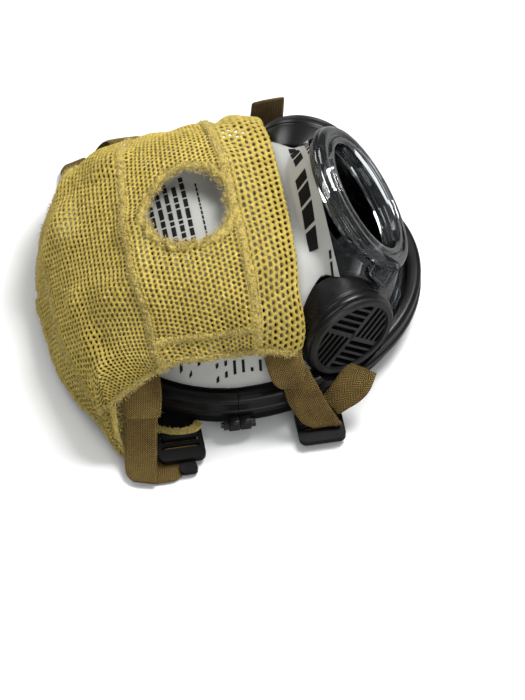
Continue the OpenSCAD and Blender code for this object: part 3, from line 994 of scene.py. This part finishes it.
def draped_net(span, tilt):
    """Point and normal of the folded net. Tilt beyond the chin edge runs around a rolled hem."""
    arc = span_to_arc(span)
    from_middle = np.abs(arc - 90)
    last = chin_edge(span)
    excess = np.maximum(tilt - last, 0)
    tilt = np.minimum(tilt, last)
    point = taut_net(arc, tilt)
    step = 0.02
    down = taut_net(arc, tilt + step) - taut_net(arc, tilt - step)
    across = taut_net(arc + step, tilt) - taut_net(arc - step, tilt)
    normal = unit(np.cross(across, down))
    normal *= np.sign((normal * (point - CENTRE)).sum(-1, keepdims=True))
    down = unit(down)

    rolled = np.radians(excess) * NET_REACH * np.abs(np.sin(np.radians(arc))) ** NET_POWER
    roll = 1.5 + 1.8 * ease((from_middle - 15) / 30)
    angle = np.minimum(rolled / roll, math.pi)
    tail = np.maximum(rolled - roll * math.pi, 0)[..., None]
    flatten = 1 - 0.8 * ease((tilt - 100) / 12) * (from_middle < 50)
    height = np.maximum(fold_height(span, tilt) * flatten, -0.2) + 0.4
    cosine, sine = np.cos(angle)[..., None], np.sin(angle)[..., None]
    roll = roll[..., None]
    point = (point + normal * height[..., None] + down * (roll * sine)
             - normal * (roll * (1 - cosine)) - down * tail)
    return point, normal * cosine + down * sine


def net_point(span, tilt):
    """Point and normal of the net, with its corners pulled out of shape."""
    span, tilt = np.asarray(span, float), np.asarray(tilt, float)
    point, normal = draped_net(span, tilt)
    pull = np.stack([np.interp(tilt, FLARE[:, 0], FLARE[:, k]) for k in (1, 2, 3)], -1)
    point = point + ease((span - 0.76) / 0.24)[..., None] * pull
    # a weaker pull on the left corner
    point = point + (ease((0.24 - span) / 0.24) * 0.3)[..., None] * pull * np.array([-1.0, 1.0, 1.0])
    # on the left the chin panel stands up and the forehead panel is lifted
    lift = ease((0.40 - span) / 0.34) * ease((tilt - 96.5) / 7.0)
    point = point + lift[..., None] * np.array([3.5, -1.0, 3.5])
    lift = ease((0.42 - span) / 0.34) * ease((tilt - 6) / 18) * ease((64 - tilt) / 16)
    point = point + lift[..., None] * np.array([3.0, 2.5, 2.5])
    return point, normal


# the crown hole, a wavy oval about an axis from the net's centre
HOLE_TILT = 79.0
HOLE_RADIUS = 24.1
HOLE_STRETCH = 1.12         # along x
HOLE_X = -1.6
HOLE_AXIS = np.array([0, math.cos(math.radians(HOLE_TILT)), math.sin(math.radians(HOLE_TILT))])
HOLE_DOWN = np.array([0, HOLE_AXIS[2], -HOLE_AXIS[1]])


def hole_wave(turn):
    return (1 + 0.028 * np.sin(3 * turn + 0.6) + 0.020 * np.sin(5 * turn + 2.1)
            + 0.018 * np.sin(11 * turn) + 0.016 * np.sin(19 * turn + 1.0))


def from_hole_axis(points):
    offset = points - CENTRE
    return offset - (offset @ HOLE_AXIS)[..., None] * HOLE_AXIS


def hole_distance(points):
    """Distance from the hole's axis, evened out so that the rim lies at HOLE_RADIUS."""
    offset = from_hole_axis(points)
    down = offset @ HOLE_DOWN
    x = (offset[..., 0] - HOLE_X) / HOLE_STRETCH
    return np.hypot(x, down) / hole_wave(np.arctan2(-down, x))


def hole_rim(radius, turn):
    """Span and tilt of points around the hole."""
    x = HOLE_X + radius * np.cos(turn) * HOLE_STRETCH * hole_wave(-turn)
    down = -radius * np.sin(turn) * hole_wave(-turn)
    arc = np.degrees(np.arccos(signed_power(x / NET_HALF_WIDTH, 1 / NET_POWER)))
    tilt = np.full_like(turn, HOLE_TILT)
    for _ in range(6):
        ratio = down / net_radius(arc, tilt)
        tilt = HOLE_TILT + np.degrees(np.arcsin(np.clip(ratio, -1, 1)))
    return arc_to_span(arc), tilt


# ------------------------------------------------------------------ head net: knitted panels
# a cell is a hexagon with a point in the middle of each side
HEXAGON = np.array([(0.5, -1 / 3), (0.5, 1 / 3), (0, 2 / 3), (-0.5, 1 / 3), (-0.5, -1 / 3),
                    (0, -2 / 3)])
CELL = np.stack([HEXAGON, (HEXAGON + np.roll(HEXAGON, -1, axis=0)) / 2], 1).reshape(-1, 2)
CELL_TURN = np.arctan2(CELL[:, 1], CELL[:, 0])


def ring_quads(first, second):
    """Quads between matching rings of indices, one ring per row."""
    return np.stack([first, np.roll(first, -1, axis=1), np.roll(second, -1, axis=1), second],
                    -1).reshape(-1, 4)


def net_panel(name, low_edge, high_edge, mat=YARN, pitch=(2.95, 2.75), roll=0.0, ends=(0.0, 1.0),
              surface=net_point, count=None):
    """Open knit between two edges, in staggered cells that each have a slanted oval hole.

    pitch is the cell size across and down, roll the depth (mm) of extra rows past the high edge.
    count gives columns and rows outright.
    """
    if count:
        columns, rows = count
    else:
        depth = np.radians(high_edge(0.5) - low_edge(0.5)) * NET_REACH
        columns = max(4, int(round(NET_LENGTH * (ends[1] - ends[0]) / pitch[0])))
        rows = max(2, int(round(depth / pitch[1])))
    extra_rows = int(math.ceil(roll / pitch[1]))

    def on_surface(x, y):
        span = ends[0] + (ends[1] - ends[0]) * np.clip(x / columns, 0, 1)
        low, high = low_edge(span), high_edge(span)
        return surface(span, low + (high - low) * (y / rows))

    column, row = np.meshgrid(np.arange(columns), np.arange(rows + extra_rows), indexing="ij")
    column, row = column.ravel(), row.ravel()
    x, y = column + 0.5 * (row % 2) + 0.25, row + 0.5
    keep = x + 0.5 <= columns + 0.26
    x, y, row = x[keep], y[keep], row[keep]
    keep = hole_distance(on_surface(x, y)[0]) > HOLE_RADIUS - 0.4
    x, y, row = x[keep][:, None], y[keep][:, None], row[keep]
    cells = len(x)

    # rims, shared between neighbouring cells, with a front and a back
    rim_x, rim_y = x + CELL[:, 0], y + CELL[:, 1]
    key = np.round(rim_x * 12).astype(np.int64) * 100003 + np.round(rim_y * 12).astype(np.int64)
    _, first, rim = np.unique(key.ravel(), return_index=True, return_inverse=True)
    rim = rim.reshape(cells, 12)
    rims = len(first)
    jitter = rng.normal(0, 0.035, (rims, 2))
    crest = 0.85 + rng.normal(0, 0.11, rims)
    point, normal = on_surface(rim_x.ravel()[first] + jitter[:, 0],
                               rim_y.ravel()[first] + jitter[:, 1])
    points = [point + normal * crest[:, None], point - normal * 1.0]

    # oval holes
    slant = np.radians(24) * np.where(row % 2 == 0, 1, -1) + rng.normal(0, 0.10, cells)
    slant = slant[:, None]
    long_radius = 0.29 * (1 + rng.normal(0, 0.08, cells))
    short_radius = 0.185 * (1 + rng.normal(0, 0.10, cells))
    oval_x = np.cos(CELL_TURN) * long_radius[:, None]
    oval_y = np.sin(CELL_TURN) * short_radius[:, None]
    hole_x = x + (oval_x * np.cos(slant) - oval_y * np.sin(slant) * 0.9)
    hole_y = y + (oval_x * np.sin(slant) + oval_y * np.cos(slant))
    jitter = rng.normal(0, 0.03, (cells, 2))
    hole_point, hole_normal = on_surface((hole_x + jitter[:, :1]).ravel(),
                                         (hole_y + jitter[:, 1:]).ravel())

    # shoulder of the yarn between rim and hole
    point, normal = on_surface((rim_x * 0.42 + hole_x * 0.58).ravel(),
                               (rim_y * 0.42 + hole_y * 0.58).ravel())
    points.append(point + normal * (0.62 + 0.10 * rng.normal(size=(len(normal), 1))))
    points.append(hole_point - hole_normal * 0.02)

    shoulder = 2 * rims + np.arange(cells * 12).reshape(cells, 12)
    hole = shoulder + cells * 12
    faces = [ring_quads(rim, shoulder), ring_quads(shoulder, hole), ring_quads(hole, rim + rims)]
    # walls along the panel's outline, where an edge belongs to only one cell
    edges = np.stack([rim, np.roll(rim, -1, axis=1)], -1).reshape(-1, 2)
    ordered = np.sort(edges, 1)
    _, first, uses = np.unique(ordered[:, 0] * (rims + 1) + ordered[:, 1],
                               return_index=True, return_counts=True)
    start, end = edges[first[uses == 1]].T
    faces.append(np.stack([end, start, start + rims, end + rims], -1))
    return piece(name, (np.concatenate(points), np.concatenate(faces)), mat, "harness")


# the flap's two edges, each through three points
FLAP_EDGES = (
    np.array([(-80.0, 91.0, 35.5), (-88.5, 92.0, 21.0), (-93.0, 86.0, 6.0)]),
    np.array([(-75.5, 68.0, 40.0), (-85.5, 70.0, 22.0), (-94.5, 72.0, 6.5)]),
)


def flap_surface(across, down):
    """Point and normal of the inner layer of the right forehead corner."""
    def edge_at(edge, t):
        t = t[..., None]
        return edge[0] * (1 - t) * (1 - 2 * t) + edge[1] * 4 * t * (1 - t) + edge[2] * t * (2 * t - 1)

    def position(u, v):
        point = (edge_at(FLAP_EDGES[0], v) * (1 - u[..., None])
                 + edge_at(FLAP_EDGES[1], v) * u[..., None])
        dent = (5.5 * np.sin(math.pi * np.clip(u, 0, 1))
                * np.sin(math.pi * np.clip(0.15 + 0.8 * v, 0, 1)))
        point = point + dent[..., None] * np.array([0.72, 0.1, -0.1])
        point[..., 2] = np.maximum(point[..., 2], 1.6)
        return point

    step = 1e-3
    normal = unit(np.cross(position(across + step, down) - position(across - step, down),
                           position(across, down + step) - position(across, down - step)))
    normal *= np.sign((normal * np.array([-1.0, 0, 0.6])).sum(-1, keepdims=True))
    return position(across, down), normal


# the chin panel wears the yarn with painted shade
chin_panel = net_panel("net_panel_chin", seam_chin, chin_edge, YARN_SHADED_CHIN, pitch=(3.9, 3.5), roll=9.0)
net_panel("net_panel_crown_near", seam_middle, seam_chin, ends=(0.5, 1.0))
net_panel("net_panel_crown_far", seam_middle, seam_chin, ends=(0.0, 0.5))
net_panel("net_panel_back", seam_forehead, seam_middle)
# the side panel and the inner flap wear the yarn with painted shade
net_panel("net_panel_edge", forehead_edge, seam_forehead, YARN_SHADED_SIDE)
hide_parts("head_net")
net_panel("net_flap_inner_right", np.zeros_like, np.ones_like, YARN_SHADED_SIDE, surface=flap_surface,
          count=(8, 14))


# ------------------------------------------------------------------ head net: seams and fibres
def seam_band(span, tilt, half_width, top, bottom, bumps, close=False):
    """A raised uneven band along a curve on the net."""
    point, normal = net_point(span, tilt)
    across = unit(np.cross(normal, unit(np.gradient(point, axis=0))))
    count = len(span)
    u = np.linspace(-1, 1, 7)
    arch = np.sqrt(np.clip(1 - np.abs(u) ** 2.6, 0, 1))
    half = half_width * (1 + 0.10 * rng.normal(size=(count, 1)))
    height = bottom + (top - bottom) * arch * (1 + bumps * rng.normal(size=(count, len(u))))
    point, across, normal = point[:, None], across[:, None], normal[:, None]
    upper = point + across * (u * half)[..., None] + normal * height[..., None]
    lower = point + across * (u[::-1][1:-1] * half * 0.96)[..., None] + normal * bottom
    return loft(np.concatenate([upper, lower], 1), close)


def tufts(name, roots, direction, body, length, radius, lean=0.7):
    """Short bent fibres: three-sided spikes, scattered by lean."""
    count = len(roots)
    axis = unit(direction + rng.normal(0, lean, (count, 3)))
    first = unit(np.cross(axis, rng.normal(size=(count, 3))))
    second = np.cross(axis, first)
    lengths = (length * rng.uniform(0.5, 1.3, count))[:, None]
    radii = (radius * rng.uniform(0.7, 1.4, count))[:, None]
    bend = rng.normal(0, 0.35, (count, 3)) * lengths
    points = []
    for centre, ring in ((roots - axis * 0.4, radii),
                         (roots + axis * lengths * 0.55 + bend * 0.35, 0.75 * radii)):
        for k in range(3):
            angle = 2 * math.pi * k / 3
            points.append(centre + ring * (math.cos(angle) * first + math.sin(angle) * second))
    points.append(roots + axis * lengths + bend)
    start = (np.arange(count) * 7)[:, None]
    faces = []
    for corners in ((0, 2, 1), (3, 4, 6), (4, 5, 6), (5, 3, 6), (0, 1, 4, 3), (1, 2, 5, 4),
                    (2, 0, 3, 5)):
        faces += (start + np.array(corners)).tolist()
    piece(name, (np.stack(points, 1).reshape(-1, 3), faces), FUZZ, body, fix=False)


def seam(name, span, tilt, half_width, density=7.0, length=1.7):
    """A band with fibres, density per mm."""
    piece(name, seam_band(span, tilt, half_width, top=1.15, bottom=-0.75, bumps=0.22), SEAM,
          "harness")
    point, normal = net_point(span, tilt)
    count = int(np.linalg.norm(np.diff(point, axis=0), axis=1).sum() * density)
    position = rng.uniform(0, 1, count) * (len(span) - 1)
    i = np.minimum(position.astype(int), len(span) - 2)
    part = (position - i)[:, None]
    across = np.cross(normal[i], unit(point[i + 1] - point[i]))
    off = rng.uniform(-1, 1, count)[:, None]
    roots = (point[i] * (1 - part) + point[i + 1] * part + across * off * half_width
             + normal[i] * (1.0 - 0.8 * np.abs(off) ** 2))
    tufts(name + "_fibres", roots, normal[i] + across * off * 0.9, "harness", length, radius=0.14)


across_net = np.linspace(0.005, 0.995, 300)
crown_tilt = np.linspace(seam_middle(0.92), seam_chin(0.92), 120)
seam("net_seam_d", 0.915 + 0.012 * np.sin((crown_tilt - 57) / 12), crown_tilt, 2.6)
seam("net_seam_c", across_net, seam_chin(across_net), 2.9)
seam("net_seam_b", across_net, seam_middle(across_net), 2.6)
seam("net_seam_a", across_net, seam_forehead(across_net), 2.6)
seam("net_hem_forehead", across_net, forehead_edge(across_net) + 0.6, 1.5, density=4.0, length=1.3)
for word, span in (("near", 0.993), ("far", 0.007)):
    hem_tilt = np.linspace(forehead_edge(span), chin_edge(span), 140)
    seam("net_hem_" + word, np.full(140, span), hem_tilt, 2.1, density=10.0, length=2.1)

# raw edge of the crown hole, with fibres leaning inwards
piece("net_crown_edge", seam_band(*hole_rim(HOLE_RADIUS + 0.4, turns(150)), half_width=2.5,
                                  top=1.45, bottom=-0.8, bumps=0.45, close=True), SEAM, "harness")
fibre_turn = rng.uniform(0, 2 * math.pi, 5200)
fibre_radius = HOLE_RADIUS - 0.3 + rng.normal(0, 1.3, 5200)
point, normal = net_point(*hole_rim(fibre_radius, fibre_turn))
tufts("net_crown_fibres", point, -unit(from_hole_axis(point)) * 0.7 + normal * 0.6, "harness",
      length=2.3, radius=0.19)

# ------------------------------------------------------------------ straps
# Rows are stations along a strap: x, y, z of one edge, then of the other, for the left side.
TEMPLE = [
    (72, 78.5, 45, 72, 61.0, 46), (76.6, 79.2, 40, 76.4, 61.3, 41),
    (81.7, 81.2, 33, 82.5, 62.9, 33.5), (86.2, 82.0, 25, 87.7, 64.3, 25.5),
    (90.7, 82.8, 17, 92.8, 65.5, 17.5), (95.8, 83.7, 10.5, 98.5, 66.5, 11),
    (101.0, 84.6, 6.2, 104.3, 67.6, 6.6), (106.7, 84.5, 3.9, 110.3, 68.6, 4.1),
    (111.0, 82.0, 3.0, 114.9, 69.7, 3.0),
]
TEMPLE_LOOP = [
    (74.6, 80.9, 45.6, 75.7, 61.0, 46.6), (79.6, 81.9, 39.6, 80.8, 61.0, 40.6),
    (83.8, 82.5, 32.4, 85.3, 61.6, 34.0), (87.9, 82.1, 27.4, 90.2, 63.3, 28.2),
]
TEMPLE_UNDER = [
    (90.3, 58.8, 2.6, 99.9, 43.2, 2.6), (92.7, 63.1, 2.2, 103.0, 48.0, 2.2),
    (96.4, 68.1, 1.8, 108.8, 52.9, 1.8), (99.4, 73.5, 1.5, 113.3, 59.3, 1.5),
    (102.3, 79.4, 1.3, 113.7, 69.5, 1.3),
]
NECK_UPPER = [
    (69.4, 5.2, 52.5, 72.6, -15.9, 53.5), (75.3, 4.1, 46.5, 78.3, -16.0, 47.5),
    (81.2, 2.9, 41, 82.6, -16.4, 42), (84.5, 0.8, 36, 85.6, -15.3, 37),
    (85.3, -1.8, 33, 86.6, -12.9, 33), (83.6, -2.4, 31.6, 84.8, -12.5, 31.4),
    (80.9, -2.0, 33, 82.0, -13.5, 33),
]
NECK_LOWER = [
    (79.6, -3.4, 34.5, 78.3, -17.6, 41.5), (82.2, -4.5, 31.5, 80.9, -19.4, 38.4),
    (85.3, -5.0, 28, 84.7, -22.0, 33), (89.2, -6.5, 23, 88.0, -25.2, 26),
    (92.6, -9.7, 17, 92.1, -28.8, 19), (94.8, -13.1, 12, 94.8, -32.1, 13),
    (95.9, -17.3, 9.2, 96.5, -34.0, 9.7), (94.8, -17.8, 7.9, 95.4, -33.6, 8.2),
    (92.3, -16.8, 7.7, 92.6, -31.8, 7.9),
]
# the two tails differ: the right one lies on the frame, the left one stands up
TAILS = {
    "right": [
        (81.0, -26.4, 16, 91.0, -33.4, 10.5), (79.4, -31.0, 21.5, 90.6, -38.8, 14),
        (76.8, -35.3, 26, 90.0, -45.0, 18), (74.3, -39.1, 29, 87.5, -50.8, 23),
        (73.3, -43.5, 31, 80.6, -55.8, 28)],
    "left": [
        (93.5, -17.5, 6.4, 93.5, -31.5, 6.4), (97, -17.6, 12, 97, -34.0, 12),
        (98.4, -18, 26, 98.4, -36.0, 26), (96.5, -18.3, 42, 96.5, -36.5, 42),
        (90.5, -18, 59, 91, -36, 60)],
}
TAIL_BLEND = {"right": ((86, -29.9, 13.2), (80.5, -47.7, 24.9)),
              "left": ((96, -24.5, 7.0), (96, -24.5, 40))}
TAB_TRIM = [
    (77.6, 64.0, 6.6, 82.4, 65.0, 6.4), (81.2, 59.6, 7.7, 85.6, 60.2, 7.6),
    (84.4, 51.4, 8.9, 88.3, 51.6, 8.6), (83.2, 45.4, 8.6, 87.4, 43.2, 8.4),
    (78.6, 42.6, 6.6, 82.0, 39.0, 6.4),
]
# centre line of the slack loop, x, y, z, and the x part of its width direction
SLACK = np.array([
    (104, 74, 3.3, 0.3), (103.4, 70, 6, 0.2), (97, 61, 24, 0), (91, 55, 42, 0), (86, 52, 48.5, 0),
    (82.5, 51, 44, 0), (86, 51.5, 32, 0), (92, 53, 14, 0), (96, 53.5, 4.4, 0),
])
SLACK_HALF_WIDTH = 9.5
# straight webbing, x and z
TIP = ((100.5, 2.95), (103, 3.0), (106.5, 3.2))
IN_BUCKLE = ((88.6, 3.4), (91.5, 3.1), (95, 4.6), (98, 2.4))


def level(stations, y, half_width):
    return [(x, y + half_width, z, x, y - half_width, z) for x, z in stations]


def slack_edges():
    centre = SLACK[:, :3]
    width = np.column_stack([SLACK[:, 3], np.ones(len(SLACK)), np.zeros(len(SLACK))])
    half = unit(width) * SLACK_HALF_WIDTH
    return np.hstack([centre + half, centre - half])


def edge_curves(table, side, steps):
    rows = np.array(catmull(np.array(table, float) * [side, 1, 1, side, 1, 1], steps))
    return rows[:, :3], rows[:, 3:]


def ribbon(name, table, side, thick, steps, body=None, mat=WEBBING, hem=0.0, wave=0.05, part=None,
           crease=None):
    """Webbing between two edge curves.

    hem thickens its end, wave is the height of the weave, part keeps a range of the steps.
    """
    first, second = edge_curves(table, side, steps)
    centre = (first + second) / 2
    width = np.linalg.norm(second - first, axis=1)[:, None]
    normal = unit(np.cross(unit(np.gradient(centre, axis=0)), second - first))[:, None]
    along = run_length(centre)[:, None]
    columns = 17
    u = np.linspace(0, 1, columns)
    selvedge = np.sqrt(np.clip(1 - np.abs(2 * u - 1) ** 9, 0, 1))
    half = thick / 2 * (0.22 + 0.78 * selvedge) * np.ones((steps, 1))
    if hem:
        half = half * (1 + hem * np.exp(-((along[-1] - along) / 1.6) ** 2))
    zigzag = np.abs((u * width / CHEVRON) % 1 - 0.5) * CHEVRON
    weave = wave * np.sin((along + zigzag) * 2 * math.pi / WEAVE_PITCH)
    sag = 0.35 * np.sin(math.pi * u) * np.sin(along / 7.0)
    middle = (first[:, None] * (1 - u)[:, None] + second[:, None] * u[:, None]
              + normal * sag[..., None])
    top = middle + normal * (half + weave)[..., None]
    bottom = (middle - normal * (half - weave * 0.5)[..., None])[:, ::-1]
    rings = np.concatenate([top, bottom], 1)
    across = (u - 0.5) * width
    uv = np.zeros((steps, 2 * columns, 2))
    uv[:, :, 0] = along
    uv[:, :columns, 1] = across
    uv[:, columns:, 1] = across[:, ::-1] + 64       # keeps the underside apart
    if part:
        rings, uv = rings[part[0]:part[1]], uv[part[0]:part[1]]
    return piece(name, loft(rings), mat, body, crease=crease, uv=uv.reshape(-1, 2))


def blend(obj, first_body, second_body, start, end, side):
    start, end = (tuple(to_row((side * x, y, z))[0]) for x, y, z in (start, end))
    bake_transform(obj)
    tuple(start)
    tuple(end)


def temple_strap(side, word):
    left = side > 0
    strap = ribbon(f"temple_webbing_{word}", TEMPLE, side, 1.5, 150, part=(32, 150) if left else None)
    blend(strap, "facepiece", "harness", (108, 77, 4), (84, 73, 30), side)
    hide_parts(f"temple_strap_{word}")
    ribbon(f"temple_sewn_loop_{word}", TEMPLE_LOOP, side, 1.9, 70, body="harness", hem=0.35,
           part=(38, 70) if left else None)
    ribbon(f"temple_webbing_under_{word}", TEMPLE_UNDER, side, 1.1, 80, body="facepiece")
    if left:
        # the slack stands up in a loop before it enters the buckle
        ribbon(f"temple_webbing_slack_{word}", slack_edges(), side, 1.2, 150, body="facepiece",
               part=(0, 95))
        entry = ribbon(f"temple_webbing_entry_{word}", slack_edges(), side, 1.2, 150,
                       part=(94, 150), crease=60)
        blend(entry, f"temple_buckle_{word}_body", "facepiece", (92, 53, 5), (92, 53, 32), side)
    tip = ribbon(f"temple_webbing_tip_{word}", level(TIP, 51, 4), side, 0.9, 40)
    blend(tip, "facepiece", f"temple_strap_tip_{word}_body", (100.5, 51, 3), (106.0, 51, 3), side)


def neck_strap(side, word):
    upper = ribbon(f"neck_webbing_{word}", NECK_UPPER, side, 1.4, 120)
    blend(upper, "facepiece", "harness", (92, -12, 20), (84, -6, 36), side)
    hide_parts(f"neck_strap_{word}")
    lower = ribbon(f"neck_webbing_lower_{word}", NECK_LOWER, side, 1.4, 140, part=(0, 74), crease=60)
    blend(lower, "facepiece", "harness", (91.5, -12, 21), (84, -6, 36), side)
    entry = ribbon(f"neck_webbing_entry_{word}", NECK_LOWER, side, 1.4, 140, part=(73, 140),
                   crease=60)
    blend(entry, f"neck_buckle_{word}_body", "facepiece", (95, -22, 8.2), (95, -22, 15.2), side)
    tail = ribbon(f"neck_tail_{word}", TAILS[word], side, 1.4, 90)
    blend(tail, "facepiece", f"neck_strap_tail_{word}_body", *TAIL_BLEND[word], side)
    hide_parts(f"neck_strap_tail_{word}")


def tab_trim(side, word):
    """Yellow knit on the temple tab, with its fibres."""
    steps, fibres = 90, 520
    ribbon(f"tab_knit_trim_{word}", TAB_TRIM, side, 1.3, 80, body="facepiece", mat=SEAM, wave=0.28)
    first, second = edge_curves(TAB_TRIM, side, steps)
    station = rng.integers(0, steps, fibres)
    u = rng.uniform(0, 1, fibres)[:, None]
    roots = first[station] * (1 - u) + second[station] * u + np.array([0, 0, 0.5])
    tufts(f"tab_knit_fibres_{word}", roots, np.array([side * 0.45, 0, 0.9]), "facepiece",
          length=1.1, radius=0.16, lean=0.6)


for side, word in SIDES:
    temple_strap(side, word)
    for strap, y in STRAP_Y.items():
        ribbon(f"{strap}_webbing_in_buckle_{word}", level(IN_BUCKLE, y, 9.25), side, 1.1, 40,
               body=f"{strap}_buckle_{word}_body")
    neck_strap(side, word)
    tab_trim(side, word)


# ------------------------------------------------------------------ floor
def floor_material():
    """Pale paper, dimmer in reflections and brightening with distance for the camera."""
    mat, nodes = new_material("floor_paper")
    colour = nodes.ramp(nodes.noise(6, detail=3), (0.3, (0.80, 0.80, 0.79)), (0.7, (0.84, 0.84, 0.83)))
    rays = nodes.add("LightPath")
    dim = nodes.math("ADD", nodes.math("MULTIPLY", rays.outputs["Is Glossy Ray"], -0.6), 1.0)
    paper = nodes.principled(nodes.scaled(colour, dim), 0.7, nodes.noise(300, detail=3),
                             distance=0.0002, strength=0.1, Emission_Color=(0.95, 0.97, 1.0))
    position = nodes.add("NewGeometry").outputs["Position"]
    distance = nodes.add("VectorMath", {0: position}, operation="LENGTH").outputs["Value"]
    glow = nodes.add("MapRange", {"From Min": 0.25, "From Max": 2.2, "To Max": 0.40,
                                  "Value": distance}, interpolation_type="SMOOTHSTEP")
    strength = nodes.math("MULTIPLY", glow.outputs["Result"], rays.outputs["Is Camera Ray"])
    nodes.tree.links.new(strength, paper.inputs["Emission Strength"])
    return mat


def floor(half=60.0):
    """A square in metres that sinks as the harness turns back about x."""
    mesh = bpy.data.meshes.new("floor")
    mesh.from_pydata([(-half, -half, 0), (half, -half, 0), (half, half, 0), (-half, half, 0)], [],
                     [(0, 1, 2, 3)])
    obj = link(bpy.data.objects.new("floor", mesh))
    drop = obj.constraints.new("TRANSFORM")
    drop.target = frame["bodies"]["harness"]
    drop.map_from = "ROTATION"
    drop.from_min_x_rot = -math.radians(100)
    drop.from_max_x_rot = 0.0
    drop.map_to = "LOCATION"
    drop.map_to_x_from = drop.map_to_y_from = drop.map_to_z_from = "X"
    drop.to_min_z = -0.056
    drop.to_max_z = 0.0
    mesh.materials.append(floor_material())


floor()


# ------------------------------------------------------------------ world, lights and camera
def studio_world():
    """Even light, dimmer in reflections, with two pale strips that only reflections see."""
    world = bpy.data.worlds.new("studio")
    bpy.context.scene.world = world
    world.use_nodes = True
    nodes = Nodes(world.node_tree)
    background = world.node_tree.nodes["Background"]
    background.inputs[0].default_value = (0.95, 0.97, 1.0, 1)
    rays = nodes.add("LightPath")
    glossy = rays.outputs["Is Glossy Ray"]
    level_light = nodes.math("ADD", nodes.math("MULTIPLY", glossy, -0.46), 0.55)
    level_light = nodes.math("ADD", level_light,
                             nodes.math("MULTIPLY", rays.outputs["Is Camera Ray"], 0.34))
    coords = nodes.add("TexCoord").outputs["Generated"]
    height = nodes.add("SeparateXYZ", {0: coords}).outputs[2]
    strips = []
    for centre, half_width, gain in ((0.42, 0.05, 0.5), (0.80, 0.035, 0.7)):
        away = nodes.math("ABSOLUTE", nodes.math("SUBTRACT", height, centre))
        fade = nodes.math("SUBTRACT", 1.0, nodes.math("DIVIDE", away, half_width), clamp=True)
        strips.append(nodes.math("MULTIPLY", fade, gain))
    strip = nodes.math("MULTIPLY", nodes.math("ADD", *strips), glossy)
    world.node_tree.links.new(nodes.math("ADD", level_light, strip), background.inputs[1])


def area_light(name, location, target, size, power):
    light = bpy.data.lights.new(name, "AREA")
    light.energy = power
    light.size = size
    obj = link(bpy.data.objects.new(name, light))
    obj.location = location
    aim = Vector(target) - Vector(location)
    obj.rotation_euler = aim.to_track_quat("-Z", "Y").to_euler()


def camera(target, back, right, distance, view_width):
    """A long lens at target + back * distance that sees view_width metres there."""
    back, right = Vector(back).normalized(), Vector(right).normalized()
    data = bpy.data.cameras.new("camera")
    obj = link(bpy.data.objects.new("camera", data))
    turn = Matrix((right, back.cross(right).normalized(), back)).transposed()
    obj.matrix_world = Matrix.Translation(Vector(target) + back * distance) @ turn.to_4x4()
    data.lens = 36 * distance / view_width      # 36 mm sensor
    data.clip_start = 0.01
    bpy.context.scene.camera = obj


studio_world()
area_light("key", location=(0.18, -0.42, 0.95), target=(0, 0, 0.05), size=0.42, power=13.0)
area_light("fill", location=(-0.95, -0.25, 0.6), target=(0, 0, 0.03), size=0.6, power=2.6)
area_light("rim", location=(0.75, 0.45, 0.6), target=(0, 0, 0.05), size=0.4, power=3.0)
bpy.context.scene.view_settings.view_transform = "Standard"
camera(target=(-0.0626, -0.0064, 0.0424), back=(-0.62, 0.109, 0.777), right=(-0.174, -0.985, 0.0),
       distance=8.0, view_width=0.374)

bpy.context.view_layer.update()
